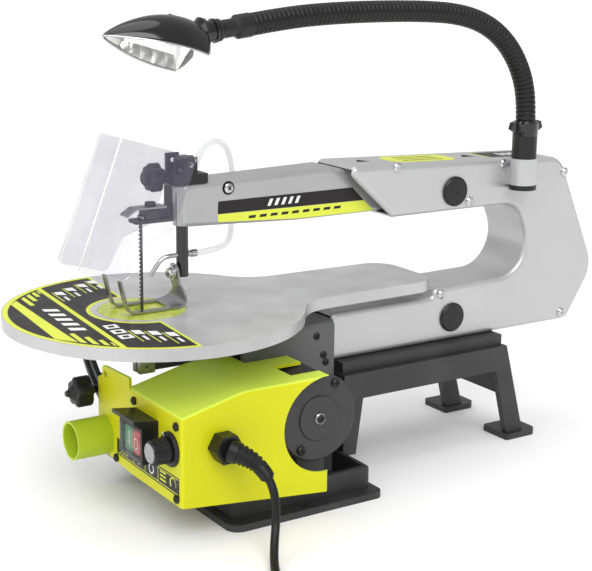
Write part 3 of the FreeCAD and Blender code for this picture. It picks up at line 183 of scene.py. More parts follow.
lamp_glow, tree, shader = new_material("lamp_glow")
shader.inputs["Base Color"].default_value = (1, 1, 1, 1)
shader.inputs["Emission Color"].default_value = (1.0, 0.98, 0.94, 1)
tree.links.new(spread(tree, noise(tree, 120.0), 5.0, 7.0), shader.inputs["Emission Strength"])
M["glow"] = lamp_glow

LOOKS = {
    "cast": ["base_casting"],
    "silver": ["housing_near", "housing_far", "lamp_socket"],
    "silver_arm": ["arm_casting"],
    "table": ["table_plate"],
    "insert": ["table_insert"],
    "lime": ["control_cover"],
    "lime_port": ["dust_port"],
    "housing": ["drive_housing"],
    "dark": ["motor_body", "motor_cover", "trunnion", "tilt_bracket", "upper_holder", "upper_rocker",
             "lower_rocker", "connecting_rod"],
    "black": ["pivot_caps", "switch_body", "speed_knob", "dial_skirt", "lock_knob", "tension_knob",
              "clamp_screw", "tilt_knob", "nose_bracket", "lamp_sleeve", "lamp_neck", "motor_fan",
              "cable_gland", "lamp_switch", "cover_screws"],
    "gloss": ["lamp_shell", "holddown_post"],
    "steel": ["motor_shaft", "eccentric", "blade", "lower_holder", "pivot_pins", "tension_rod",
              "clamp_lever"],
    "chrome": ["housing_screws", "blower_tube", "presser_foot", "foot_screw"],
    "bright": ["reflector"],
    "rubber": ["bellows", "gooseneck", "power_cord", "cord_coil", "cord_boot", "plug"],
    "clear": ["guard_panel"],
    "hose": ["air_hose"],
    "lens": ["lens"],
    "glow": ["bulb"],
    "red": ["button_off"],
    "green": ["button_on"],
    "board": ["control_board"],
}
for look, names in LOOKS.items():
    for name in names:
        node = NODES[name]
        node.data.materials.clear()
        node.data.materials.append(M[look])
        for polygon in node.data.polygons:
            polygon.material_index = 0


def dress(name, extra, chosen):
    """Give the faces for which chosen(face) is true a second look."""
    data = NODES[name].data
    data.materials.append(M[extra])
    for face in data.polygons:
        if chosen(face):
            face.material_index = 1


front_normal = Vector((-0.933, 0, 0.36))
# edge faces of the clear guard take the white edge look: painted highlight
dress("guard_panel", "clear_edge_painted_highlight",
      lambda face: abs(face.normal.y) < 0.9 and abs(face.normal.dot(front_normal)) < 0.98)
# the cover's upward faces take the brighter lime copy: painted light against the table's shade
dress("control_cover", "lime_top_painted_light", lambda face: face.normal.z > 0.5)
dress("table_plate", "rim", lambda face: abs(face.normal.z) < 0.5 and face.center.z > 0.159)


# ---------------------------------------------------------------- mesh helpers

def piece(name, mesh, look, body, smooth=True, turn=None, place=None):
    item = bpy.data.objects.new(name, mesh)
    bpy.context.scene.collection.objects.link(item)
    mesh.materials.append(M[look])
    if place is not None:
        spin = turn.to_matrix().to_4x4() if turn else Matrix.Identity(4)
        item.matrix_world = Matrix.Translation(place) @ spin
    if smooth:
        mesh.shade_smooth()
    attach(item, body)
    return item


def from_data(name, points, faces):
    mesh = bpy.data.meshes.new(name)
    mesh.from_pydata([tuple(p) for p in points], [], faces)
    mesh.validate()
    return mesh


def slab(name, outline, plane, level, thick, look, body):
    """Thin plate from an outline in millimetres; plane names its two axes, level is the third coordinate."""
    axes = {"x": 0, "y": 1, "z": 2}
    u, v = axes[plane[0]], axes[plane[1]]
    w = 3 - u - v
    points = []
    for depth in (level, level + thick):
        for a, b in outline:
            point = [0.0, 0.0, 0.0]
            point[u], point[v], point[w] = a * MM, b * MM, depth * MM
            points.append(point)
    n = len(outline)
    faces = [list(range(n)), list(range(n, 2 * n))[::-1]]
    faces += [[i, i + n, (i + 1) % n + n, (i + 1) % n] for i in range(n)]
    mesh = from_data(name, points, faces)
    tidy(mesh)
    return piece(name, mesh, look, body, smooth=False)


def tidy(mesh):
    work = bmesh.new()
    work.from_mesh(mesh)
    bmesh.ops.recalc_face_normals(work, faces=work.faces)
    work.to_mesh(mesh)
    work.free()


def lathe(name, profile, look, body, place, axis, around=40):
    """Turned piece: profile is (radius, height) in millimetres along axis from place."""
    points, faces = [], []
    for radius, height in profile:
        for i in range(around):
            angle = 2 * math.pi * i / around
            points.append((radius * MM * math.cos(angle), radius * MM * math.sin(angle), height * MM))
    for j in range(len(profile) - 1):
        for i in range(around):
            k = (i + 1) % around
            faces.append([j * around + i, j * around + k, (j + 1) * around + k, (j + 1) * around + i])
    faces.append(list(range(around))[::-1])
    faces.append(list(range((len(profile) - 1) * around, len(profile) * around)))
    mesh = from_data(name, points, faces)
    tidy(mesh)
    turn = Vector((0, 0, 1)).rotation_difference(Vector(axis).normalized())
    item = piece(name, mesh, look, body, True, turn, mm(*place))
    mesh.set_sharp_from_angle(angle=math.radians(35))
    return item


def frames(points):
    """Tangent and a steady sideways direction along a path."""
    tangents = []
    for i in range(len(points)):
        a, b = points[max(i - 1, 0)], points[min(i + 1, len(points) - 1)]
        tangents.append((b - a).normalized())
    side = tangents[0].orthogonal().normalized()
    result = []
    for i, tangent in enumerate(tangents):
        if i:
            side = tangents[i - 1].rotation_difference(tangent) @ side
        result.append((tangent, side))
    return result


def ribbed(name, points, radius_at, look, body, around=20):
    """Tube along points whose radius is radius_at(distance along it), closed at its ends."""
    verts, faces = [], []
    travelled = 0.0
    rings = frames(points)
    for i, (point, (tangent, side)) in enumerate(zip(points, rings)):
        if i:
            travelled += (point - points[i - 1]).length
        radius = radius_at(travelled)
        other = tangent.cross(side)
        for k in range(around):
            angle = 2 * math.pi * k / around
            verts.append(point + (side * math.cos(angle) + other * math.sin(angle)) * radius)
    for i in range(len(points) - 1):
        for k in range(around):
            n = (k + 1) % around
            faces.append([i * around + k, i * around + n, (i + 1) * around + n, (i + 1) * around + k])
    faces.append(list(range(around))[::-1])
    faces.append(list(range((len(points) - 1) * around, len(points) * around)))
    mesh = from_data(name, verts, faces)
    tidy(mesh)
    return piece(name, mesh, look, body)


def curve_through(name, control, radius, look):
    """Round cord whose centre line is a smooth spline with these control points, in millimetres."""
    data = bpy.data.curves.new(name, "CURVE")
    data.dimensions = "3D"
    spline = data.splines.new("NURBS")
    spline.points.add(len(control) - 1)
    for point, place in zip(spline.points, control):
        point.co = (place[0] * MM, place[1] * MM, place[2] * MM, 1)
    spline.order_u = 3
    spline.use_endpoint_u = True
    spline.resolution_u = 6
    data.bevel_depth = radius * MM
    data.bevel_resolution = 5
    data.use_fill_caps = True
    data.materials.append(M[look])
    item = bpy.data.objects.new(name, data)
    bpy.context.scene.collection.objects.link(item)
    return item


def centre_line(item, fine=24):
    """Points along a curve object's own spline."""
    data = item.data.copy()
    data.bevel_depth = 0
    data.splines[0].resolution_u = fine
    bare = bpy.data.objects.new("bare_line", data)
    mesh = bpy.data.meshes.new_from_object(bare)
    points = [v.co.copy() for v in mesh.vertices]
    bpy.data.meshes.remove(mesh)
    bpy.data.objects.remove(bare)
    bpy.data.curves.remove(data)
    return points


def first_part(points, length):
    """The points of a line up to that distance from its start."""
    travelled, count = 0.0, 1
    while travelled < length:
        travelled += (points[count] - points[count - 1]).length
        count += 1
    return points[:count]


# ---------------------------------------------------------------- power cord, coil, boot and plug

# height of the cord's middle where it lies on the bench
FLOOR = 3.6
lead = [(-171, -121, 80), (-162.9, -130.7, 76.9), (-155.1, -140, 69.9), (-150.2, -149.1, 58.3),
        (-149.7, -155.1, 44.1), (-151.3, -157.9, 28.9), (-156.7, -164.4, 16.5), (-164.4, -176, 8.4),
        (-172, -190, FLOOR), (-178.5, -208, FLOOR), (-177, -230, FLOOR), (-168, -252, FLOOR)]
COIL = (-197, -288)


def coil_turns():
    """Clockwise turns from the cord's arrival, each a little inside, outside or above the last."""
    per_turn = 16
    # the control points lie a little outside the circle that the cord follows
    turns = [(47.1, 3.6), (40.0, 3.6), (32.9, 3.6), (32.9, 10.7), (40.0, 10.7), (47.1, 10.7), (40.0, 17.9)]
    swell = 1 / math.cos(math.pi / per_turn)
    points = []
    for i, (radius, height) in enumerate(turns):
        last = i == len(turns) - 1
        steps = 3 if last else per_turn
        for k in range(steps):
            after = turns[min(i + 1, len(turns) - 1)]
            # the change to the next turn takes the last quarter of this one
            share = max(0.0, (k - per_turn * 0.7) / (per_turn * 0.3)) if not last else 0.0
            r = (radius + (after[0] - radius) * share) * swell
            z = height + (after[1] - height) * share
            angle = -2 * math.pi * k / per_turn
            points.append((COIL[0] + r * math.cos(angle), COIL[1] + r * math.sin(angle), z))
    return points


tail = [(-177, -322.6, 17.9), (-202, -337, 17.5), (-230, -337, 17)]
cord_route = lead + [(-155, -272, FLOOR)] + coil_turns() + tail
cord = curve_through("power_cord_line", cord_route, 3.5, "rubber")
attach(cord, "frame")
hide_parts("power_cord", "cord_coil")
cord_line = centre_line(cord)

# ribbed boot that bends with the cord
boot_steps = first_part(centre_line(cord, 40), 39 * MM)


def boot_radius(distance):
    d = distance / MM
    if d < 7:
        return (9.4 - 0.05 * d) * MM
    if d < 27:
        rib = 0.5 + 0.5 * math.cos(2 * math.pi * (d - 7) / 4.0)
        return (8.9 - (d - 7) * 0.11 - 1.1 * (1 - rib)) * MM
    if d < 38:
        return (6.4 - (d - 27) * 0.05) * MM
    return 4.6 * MM


boot = ribbed("boot_ribbed", boot_steps, boot_radius, "rubber", "frame", 28)
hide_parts("cord_boot")

# plug: moulded head, ribbed sleeve and two pins
head = bmesh.new()
bmesh.ops.create_cube(head, size=1.0, matrix=Matrix.Translation(mm(-269, -337, 17.05)) @ Matrix.Diagonal(
    (26 * MM, 36 * MM, 33.8 * MM, 1)))
bmesh.ops.bevel(head, geom=head.edges[:], offset=7 * MM, segments=5, affect="EDGES", profile=0.5)
mesh = bpy.data.meshes.new("plug_head")
head.to_mesh(mesh)
head.free()
plug = piece("plug_head", mesh, "rubber", "frame")
sleeve_line = [mm(-256.5 + 26.3 * i / 60, -337, 17) for i in range(61)]
sleeve = ribbed("plug_sleeve", sleeve_line, lambda d: (9 - 0.15 * d / MM - 0.8 * (0.5 - 0.5 * math.cos(
    2 * math.pi * d / MM / 4.3))) * MM, "rubber", "frame", 24)
pins = [lathe("plug_pin_%d" % i, [(2.2, 0), (2.2, 15), (2.0, 18), (1.2, 19.3)], "brass", "frame",
              (-281.5, -337 + side, 17), (-1, 0, 0), 20) for i, side in enumerate((-9.5, 9.5))]
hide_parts("plug")

# ---------------------------------------------------------------- air hose

hose_route = [(-137.8, -8.5, 214.5), (-122, -7, 214.6), (-106, -1, 216), (-95, 9, 221), (-88, 19, 231),
              (-84, 26, 246), (-82, 28, 263), (-84, 26, 281), (-91, 21, 296), (-104, 15, 305),
              (-118, 11, 302), (-127, 9.5, 292), (-129, 9.5, 283)]
hose = curve_through("air_hose_line", hose_route, 2.6, "hose")
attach(hose, "frame")
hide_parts("air_hose")
hose_line = centre_line(hose)

# ---------------------------------------------------------------- gooseneck

neck_route = [(191, -46, 301), (191, -46, 325), (184, -46, 354), (166, -46, 381), (140, -46, 400),
              (107, -46, 410), (66, -46, 413), (20, -46, 413.6), (-30, -46, 412.8), (-74, -46, 410),
              (-110, -46, 405)]
neck_curve = curve_through("neck_guide", neck_route, 1.0, "rubber")
neck_line = centre_line(neck_curve, 90)
bpy.data.objects.remove(neck_curve)
PITCH = 4.4


def neck_radius(distance):
    phase = (distance / MM) % PITCH / PITCH
    groove = max(0.0, 1 - abs(phase - 0.5) / 0.16)
    return (9.25 - 1.15 * groove) * MM


neck = ribbed("gooseneck_ribbed", neck_line, neck_radius, "rubber", "lamp_arm", 32)
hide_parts("gooseneck")


# ---------------------------------------------------------------- labels and marks

def sheet_on(name, points, normal, look, body, thick=0.12, lift=0.03):
    """Thin label: a flat outline in millimetres, raised along its normal."""
    normal = Vector(normal).normalized()
    n = len(points)
    verts = [mm(*p) + normal * (rise * MM) for rise in (lift, lift + thick) for p in points]
    faces = [list(range(n)), list(range(n, 2 * n))[::-1]]
    faces += [[i, i + n, (i + 1) % n + n, (i + 1) % n] for i in range(n)]
    mesh = from_data(name, verts, faces)
    tidy(mesh)
    return piece(name, mesh, look, body, smooth=False)


INSERT_X, LOBE_X, TOP = -186.0, -174.0, 170.0
LEAN = math.radians(4.5)


def on_table(p, q):
    """Table point from the sticker's own axes, which lean a little."""
    return (INSERT_X + p * math.cos(LEAN) + q * math.sin(LEAN), -p * math.sin(LEAN) + q * math.cos(LEAN), TOP)


def rim_q(p, radius, side):
    """Where the sticker line at p meets the circle of that radius about the table's round front."""
    cx, cy = (LOBE_X - INSERT_X) * math.cos(LEAN), (LOBE_X - INSERT_X) * math.sin(LEAN)
    return cy + side * math.sqrt(radius ** 2 - (p - cx) ** 2)


def front_arc(p, radius, count=48):
    """The table's front arc ahead of the sticker line p, from the far side round to the near side."""
    cx, cy = (LOBE_X - INSERT_X) * math.cos(LEAN), (LOBE_X - INSERT_X) * math.sin(LEAN)
    start = math.atan2(rim_q(p, radius, 1) - cy, p - cx)
    stop = math.atan2(rim_q(p, radius, -1) - cy, p - cx) + 2 * math.pi
    return [(cx + radius * math.cos(start + (stop - start) * i / count),
             cy + radius * math.sin(start + (stop - start) * i / count)) for i in range(count + 1)]


def ring_arc(p, radius, count=36):
    """Points of the arc round the blade insert, from the near side to the far side."""
    start = math.acos(p / radius)
    return [(radius * math.cos(-start - (2 * math.pi - 2 * start) * i / count),
             radius * math.sin(-start - (2 * math.pi - 2 * start) * i / count)) for i in range(count + 1)]


def table_sheet(name, outline, look, lift):
    return sheet_on(name, [on_table(p, q) for p, q in outline], (0, 0, 1), look, "table", 0.06,
                    lift)


table_sheet("table_label_border", front_arc(-0.8, 125.8) + ring_arc(-0.8, 43), "lime_label", 0.02)
table_sheet("table_label_rear", [(p, rim_q(p, 121.5, -1)) for p in [-53.5 + 50.2 * i / 20 for i in range(21)]]
            + ring_arc(-3.3, 46.5)
            + [(p, rim_q(p, 121.5, 1)) for p in [-3.3 - 50.2 * i / 20 for i in range(21)]], "black_label",
            0.07)
table_sheet("table_label_front", front_arc(-58, 121.5), "black_label", 0.07)
table_sheet("table_band", [(-94, 60), (-86.5, 70), (-85.5, 36), (-83.5, -39), (-82, -72), (-95, -56)],
            "lime_label", 0.12)
for side in (1, -1):
    for i, (low, high, length) in enumerate([(-80.5, -76.5, 26), (-73.5, -69.5, 20), (-66.5, -63, 14),
                                             (-60.6, -59, 9)]):
        far = rim_q(low, 118.5, side)
        far_high = rim_q(high, 118.5, side)
        near = far - side * length
        table_sheet("table_dash_%s_%d" % ("far" if side > 0 else "near", i),
                    [(low, far), (high, far_high), (high, near), (low, near)], "lime_label", 0.12)
for i in range(5):
    q = 34 - 16 * i
    table_sheet("table_bar_%d" % i, [(-76, q), (-64, q - 5), (-64, q - 13), (-76, q - 8)], "white_ink", 0.12)
for i, (p, q) in enumerate([(-47, 84), (-34, 94), (-20, 103), (-7, 111)]):
    table_sheet("table_far_mark_%d" % i, [(p - 1.5, q), (p + 6, q), (p + 6, q - 13), (p - 1.5, q - 9)],
                "white_ink", 0.12)
    table_sheet("table_far_line_%d" % i, [(p - 3.6, q), (p - 2.6, q), (p - 2.6, q - 33), (p - 3.6, q - 33)],
                "lime_label", 0.12)
    table_sheet("table_far_dash_%d" % i, [(p + 1, q - 18), (p + 3.5, q - 18), (p + 3.5, q - 31),
                                          (p + 1, q - 31)],
                "white_ink", 0.12)
for i, q in enumerate([-36, -52, -68]):
    table_sheet("table_square_%d" % i, [(-49, q), (-38, q), (-38, q - 11), (-49, q - 11)], "white_ink", 0.12)
    table_sheet("table_square_in_%d" % i, [(-46, q - 3), (-41, q - 3), (-41, q - 8), (-46, q - 8)],
                "black_label", 0.17)
for i, (p, q) in enumerate([(-34, -58), (-23, -66), (-12, -75)]):
    table_sheet("table_near_mark_%d" % i, [(p, q), (p + 7, q - 3), (p + 7, q - 15), (p, q - 12)], "white_ink",
                0.12)
    table_sheet("table_near_line_%d" % i, [(p - 2.6, q), (p - 1.6, q), (p - 1.6, q - 34), (p - 2.6, q - 34)],
                "lime_label", 0.12)
    table_sheet("table_near_dash_%d" % i, [(p + 2, q - 19), (p + 4.5, q - 19), (p + 4.5, q - 31),
                                           (p + 2, q - 31)],
                "white_ink", 0.12)

ARM_Y = -17.5


def arm_sheet(name, outline, look, lift=0.03):
    return sheet_on(name, [(x, ARM_Y, z) for x, z in outline], (0, -1, 0), look, "frame",
                    0.08, lift)


arm_sheet("arm_label_black", [(-122.5, 257.2), (-121.5, 258.2), (15, 258.6), (27.6, 246.1), (-122.8, 247.4)],
          "black_label")
arm_sheet("arm_label_lime", [(-122.8, 247.2), (27.8, 245.9), (39, 235.8), (-42, 236.1), (-122.5, 240.6)],
          "lime_label")
for i in range(5):
    x = -74 + 7 * i
    arm_sheet("arm_bar_%d" % i, [(x, 250), (x + 3.2, 250), (x + 6, 256), (x + 2.8, 256)], "white_ink", 0.1)
for i in range(9):
    x = -93 + 11 * i
    arm_sheet("arm_dash_%d" % i, [(x, 241), (x + 7, 241), (x + 8, 243.4), (x + 1, 243.4)], "black_label", 0.1)


def ridge(x):
    """Height of the housing's top at x."""
    return 280 - 0.03475 * (x + 6)


def top_sheet(name, outline, look, lift=0.03):
    return sheet_on(name, [(x, y, ridge(x)) for x, y in outline], (0.03475, 0, 1), look, "frame",
                    0.08, lift)


top_sheet("top_label_lime", [(62, -12), (70, -20), (128, -20), (136, -12), (136, 8), (128, 16), (70, 16),
                             (62, 8)],
          "lime_label")
for i in range(3):
    top_sheet("top_line_%d" % i, [(76, -12 + 9 * i), (122, -12 + 9 * i), (122, -9.5 + 9 * i),
                                  (76, -9.5 + 9 * i)],
              "black_label", 0.1)
top_sheet("top_label_black", [(176, -16), (232, -16), (232, 14), (176, 14)], "black_label")
top_sheet("top_label_edge", [(174, -18), (176, -18), (176, 16), (174, 16)], "lime_label")
for i in range(4):
    top_sheet("top_mark_%d" % i, [(198 + 8 * i, -8), (203 + 8 * i, -8), (203 + 8 * i, 6), (198 + 8 * i, 6)],
              "white_ink", 0.1)
# dark arrows: painted shade in arrow-shaped recesses
top_sheet("top_arrow", [(28, -6), (42, -6), (35, 6)], "painted_recess_shade")
top_sheet("top_arrow_rear", [(150, -6), (166, -6), (158, 6)], "painted_recess_shade")


def panel_sheet(name, outline, look, lift=0.03, level=-207):
    return sheet_on(name, [(level, y, z) for y, z in outline], (-1, 0, 0), look, "frame", 0.08, lift)


panel_sheet("panel_label", [(9, 57), (-102.5, 57), (-102.5, 41), (9, 42.5)], "black_label")
panel_sheet("panel_line_low", [(7.5, 43.8), (-101, 42.4), (-101, 43.1), (7.5, 44.5)], "lime_label", 0.1)
panel_sheet("panel_line_top", [(-67, 55.2), (-101, 55.2), (-101, 55.9), (-67, 55.9)], "lime_label", 0.1)
for i, y in enumerate([-22, -43, -66]):
    panel_sheet("panel_line_%d" % i, [(y, 43.6), (y - 0.8, 43.6), (y - 0.8, 56), (y, 56)], "lime_label", 0.1)
panel_sheet("panel_on_mark", [(-31, 46), (-33, 46), (-33, 54.5), (-31, 54.5)], "white_ink", 0.1)
for i in range(16):
    a, b = 2 * math.pi * i / 16, 2 * math.pi * (i + 1) / 16
    panel_sheet("panel_off_%d" % i, [(-54.5 + r * math.sin(t), 50 + r * math.cos(t)) for r, t in
                                     ((4.6, a), (4.6, b), (3.2, b), (3.2, a))], "white_ink", 0.1)
for i in range(11):
    a, b = math.radians(-110 + 22 * i), math.radians(-110 + 22 * i + 21)
    wide = 0.4 + 0.16 * i
    panel_sheet("panel_speed_%d" % i, [(-92 + r * math.sin(t), 49.5 + r * math.cos(t)) for r, t in
                                       ((5.4, a), (5.4, b), (5.4 - wide, b), (5.4 - wide, a))], "lime_label",
                                       0.1)
for i in range(3):
    panel_sheet("panel_bar_%d" % i, [(-70, 46 + 3.4 * i), (-80, 46 + 3.4 * i), (-80, 47.6 + 3.4 * i),
                                     (-70, 47.6 + 3.4 * i)], "lime_label", 0.1)
    panel_sheet("panel_hatch_%d" % i, [(2 - 5 * i, 46), (-1 - 5 * i, 46), (-1 - 5 * i, 54), (2 - 5 * i, 54)],
                "lime_label", 0.1)

# ---------------------------------------------------------------- knobs and screws


def lobed(name, centre, axis, radius, depth, lobes, low, high, look, body, around=72):
    """Lobed hand knob between heights low and high along its axis from centre."""
    stations = [(low, 0.80), (low + 1.2, 0.95), (low + 2.2, 1.0), (high - 2.2, 1.0), (high - 0.8, 0.93),
                (high, 0.80)]
    points, faces = [], []
    for height, scale in stations:
        for i in range(around):
            angle = 2 * math.pi * i / around
            r = radius - depth * (0.5 - 0.5 * math.cos(lobes * angle)) ** 1.4
            points.append((r * scale * math.cos(angle) * MM, r * scale * math.sin(angle) * MM, height * MM))
    for j in range(len(stations) - 1):
        for i in range(around):
            k = (i + 1) % around
            faces.append([j * around + i, j * around + k, (j + 1) * around + k, (j + 1) * around + i])
    faces.append(list(range(around))[::-1])
    faces.append(list(range((len(stations) - 1) * around, len(stations) * around)))
    mesh = from_data(name, points, faces)
    tidy(mesh)
    item = piece(name, mesh, look, body, True,
                 Vector((0, 0, 1)).rotation_difference(Vector(axis).normalized()), mm(*centre))
    mesh.set_sharp_from_angle(angle=math.radians(40))
    return item


star = lobed("lock_knob_star", (-166, 3, 279.5), (-1, 0, 0), 12.2, 3.2, 7, 0, 12, "black", "holddown_lock")
lathe("lock_knob_hub", [(6.5, 11.5), (6.5, 14.5), (5, 16)], "black", "holddown_lock",
            (-166, 3, 279.5), (-1, 0, 0))
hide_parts("lock_knob")
top_star = lobed("tension_knob_star", (-142, 5, 285.6), (0, 0, 1), 9.6, 2.6, 6, 0, 9.5, "black", "tensioner")
lathe("tension_knob_stem", [(4, -2.3), (4, 0.5)], "black", "tensioner", (-142, 5, 285.6),
      (0, 0, 1))
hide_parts("tension_knob")
tilt_star = lobed("tilt_knob_star", (-211, 53.37, 87.81), (-1, 0, 0), 13.8, 3.4, 5, 0, 16, "black",
                  "tilt_lock")
lathe("tilt_knob_nose", [(8, 15.5), (6.5, 17), (3.0, 21), (2.4, 23)], "black", "tilt_lock",
      (-211, 53.37, 87.81), (-1, 0, 0))
lathe("tilt_knob_neck", [(3.4, 0), (3.4, -20)], "black", "tilt_lock", (-211, 53.37, 87.81),
      (-1, 0, 0))
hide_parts("tilt_knob")

# speed knob: ribbed sleeve with a brushed face
rib_points, rib_faces = [], []
around = 144
profile = [(10.6, -3.6), (10.9, -5), (10.2, -17.6), (9.3, -18.6)]
for radius, height in profile:
    for i in range(around):
        groove = 0.55 if (i // 3) % 2 else 0.0
        angle = 2 * math.pi * i / around
        rib_points.append((height * MM, (radius - groove) * math.cos(angle) * MM,
                           (radius - groove) * math.sin(angle) * MM))
for j in range(len(profile) - 1):
    for i in range(around):
        k = (i + 1) % around
        rib_faces.append([j * around + i, j * around + k, (j + 1) * around + k, (j + 1) * around + i])
rib_faces.append(list(range(around))[::-1])
rib_faces.append(list(range((len(profile) - 1) * around, len(profile) * around)))
mesh = from_data("speed_knob_ribs", rib_points, rib_faces)
tidy(mesh)
ribs = piece("speed_knob_ribs", mesh, "black", "speed_dial", False, Quaternion(),
             mm(-207, -89, 78))
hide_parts("speed_knob")
lathe("speed_knob_face", [(8.3, 18.4), (8.3, 19.2), (7.9, 19.5)], "steel", "speed_dial",
      (-207, -89, 78), (-1, 0, 0))
lathe("speed_knob_shaft", [(3, -14), (3, 4)], "steel", "speed_dial", (-207, -89, 78), (-1, 0, 0))
sheet_on("dial_tick", [(-210.25, -83.8, 88.1), (-210.25, -82.9, 87.3), (-210.25, -80, 90.2),
                       (-210.25, -80.9, 91)],
         (-1, 0, 0), "white_ink", "frame", 0.1, 0.0)


def screw_head(name, place, axis, radius, look, body):
    """Round head with a cross recess whose shade is painted as dark slots."""
    lathe(name, [(radius, 0), (radius, radius * 0.28), (radius * 0.8, radius * 0.48),
                 (radius * 0.35, radius * 0.58)],
          look, body, place, axis, 28)
    normal = Vector(axis).normalized()
    side = normal.orthogonal().normalized()
    other = normal.cross(side)
    for i, (u, v) in enumerate(((side, other), (other, side))):
        a, b = radius * 0.5, radius * 0.13
        base = Vector(place) + normal * radius * 0.5
        corners = [base + u * a + v * b, base + u * a - v * b, base - u * a - v * b, base - u * a + v * b]
        # painted shade of the cross recess
        sheet_on("%s_slot_%d" % (name, i), [tuple(c) for c in corners], axis, "painted_recess_shade", body,
                 radius * 0.09, 0.0)


screw_head("arm_screw", (-112.5, -17.5, 268.8), (0, -1, 0), 4.3, "chrome", "frame")
# dark ring: painted shade in the screw's seat
lathe("arm_screw_seat", [(5.8, -0.2), (5.8, 0.12)], "painted_recess_shade", "frame", (-112.5, -17.5, 268.8),
      (0, -1, 0))

# switch: clear covers over the two keys, a ring on the off key and a bar on the on key


def box_piece(name, x, y, z, look, body, bevel=0.5):
    work = bmesh.new()
    bmesh.ops.create_cube(work, size=1.0,
                          matrix=Matrix.Translation(mm((x[0] + x[1]) / 2, (y[0] + y[1]) / 2,
                                                       (z[0] + z[1]) / 2))
                          @ Matrix.Diagonal(((x[1] - x[0]) * MM, (y[1] - y[0]) * MM, (z[1] - z[0]) * MM, 1)))
    if bevel:
        bmesh.ops.bevel(work, geom=work.edges[:], offset=bevel * MM, segments=2, affect="EDGES", profile=0.5)
    mesh = bpy.data.meshes.new(name)
    work.to_mesh(mesh)
    work.free()
    return piece(name, mesh, look, body, False)


box_piece("flap_on", (-224.5, -222.2), (-48, -30.5), (62.5, 88), "flap", "frame", 0.4)
box_piece("flap_off", (-226.5, -222.6), (-66, -48.6), (62, 88), "flap", "frame", 0.6)
for i in range(20):
    a, b = 2 * math.pi * i / 20, 2 * math.pi * (i + 1) / 20
    sheet_on("off_ring_%d" % i, [(-222, -57.2 + r * math.sin(t), 75 + 1.35 * r * math.cos(t)) for r, t in
                                 ((3.6, a), (3.6, b), (3.0, b), (3.0, a))], (-1, 0, 0), "white_ink",
                                 "off_key",
             0.08, 0.02)
sheet_on("on_bar", [(-219, -38.5, 69), (-219, -40, 69), (-219, -40, 81), (-219, -38.5, 81)], (-1, 0, 0),
         "white_ink", "on_key", 0.08, 0.02)

# thin white tubes along the guard's folds: painted highlight
for i, y in enumerate((-20.2, 20.2)):
    ribbed("guard_fold_%d" % i, [mm(-212, y, 317), mm(-225, y, 283), mm(-238, y, 249.4), mm(-251, y, 215.6)],
           lambda d: 0.55 * MM, "clear_edge_painted_highlight", "guard", 8)

# ---------------------------------------------------------------- blade, foot and lamp details

edge = []
z = 250.0
while z > 122:
    edge += [(-188.3, z), (-186.6, z - 1.5)]
    z -= 3.4
outline = [(-184.6, 118.2), (-184.6, 250.8), (-187.4, 250.8)] + edge + [(-187.4, 118.2)]
n = len(outline)
points = [(x * MM, y * MM, z * MM) for y in (-0.3, 0.3) for x, z in outline]
faces = [list(range(n)), list(range(n, 2 * n))[::-1]] + [[i, i + n, (i + 1) % n + n,
                                                          (i + 1) % n] for i in range(n)]
mesh = from_data("blade_toothed", points, faces)
tidy(mesh)
toothed = piece("blade_toothed", mesh, "blade", "saw_blade", False)
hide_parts("blade")
for i, z in enumerate((121, 248)):
    lathe("blade_pin_%d" % i, [(1.2, -4.4), (1.2, 4.4)], "steel", "saw_blade", (-186, 0, z),
          (0, 1, 0), 16)


def strip(name, stations, thick, look, body):
    """Bent sheet-metal strip: stations are (x, z, middle y, half width), in millimetres."""
    points, faces = [], []
    fine = []
    for a, b in zip(stations, stations[1:]):
        fine += [[a[k] + (b[k] - a[k]) * i / 4 for k in range(4)] for i in range(4)]
    fine.append(list(stations[-1]))
    for _ in range(3):
        fine = [fine[0]] + [[(p[k] + 2 * c[k] + q[k]) / 4 for k in range(4)] for p, c, q in
                            zip(fine, fine[1:], fine[2:])] + [fine[-1]]
    for i, (x, z, y, half) in enumerate(fine):
        before, after = fine[max(i - 1, 0)], fine[min(i + 1, len(fine) - 1)]
        tangent = Vector((after[0] - before[0], 0, after[1] - before[1])).normalized()
        normal = Vector((-tangent.z, 0, tangent.x)) * thick / 2
        for sign in (1, -1):
            for side in (-1, 1):
                points.append(tuple((Vector((x, y + side * half, z)) + normal * sign) * MM))
    for i in range(len(fine) - 1):
        a, b = 4 * i, 4 * (i + 1)
        faces += [[a, a + 1, b + 1, b], [a + 2, b + 2, b + 3, a + 3], [a, b, b + 2, a + 2],
                  [a + 1, a + 3, b + 3, b + 1]]
    faces += [[0, 2, 3, 1], [4 * len(fine) - 4, 4 * len(fine) - 3, 4 * len(fine) - 1, 4 * len(fine) - 2]]
    mesh = from_data(name, points, faces)
    tidy(mesh)
    item = piece(name, mesh, look, body, True)
    mesh.set_sharp_from_angle(angle=math.radians(40))
    return item


for i, y in enumerate((-14.6, 14.6)):
    strip("foot_prong_%d" % i, [(-213, 199.5, y, 3), (-210, 186, y, 3), (-207, 175, y, 3),
                                (-203, 171.6, y, 3), (-190, 171.4, y, 3), (-172, 171.4, y, 3.2),
                                (-164, 171.4, y * 0.9, 3.6)],
          1.8, "steel", "foot")
leaf = strip("foot_leaf", [(-167, 171.4, 0, 17.4), (-160, 171.5, 0, 17.6), (-154.5, 173.5, -1, 17),
                           (-153.5, 179, -5, 14), (-156, 186, -9, 9), (-159, 192, -9, 7.5),
                           (-159.8, 198, -8.5, 8.5), (-159.8, 204, -8.5, 7.5), (-159.8, 207.5, -8.5, 4)], 1.7,
                           "steel", "foot")
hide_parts("presser_foot")
lathe("foot_bolt", [(6.2, 0), (6.2, 1.2), (4.6, 1.6), (4.4, 4.4), (3.6, 5.2)], "chrome", "holddown",
      (-161, -8.5, 200), (-1, 0, 0), 24)

lathe("barb", [(2.6, 0), (2.6, 3), (3.2, 3.2), (3.2, 8.2), (2.4, 8.6)], "chrome", "holddown",
      (-147, -8.5, 214.5), (1, 0, 0), 24)

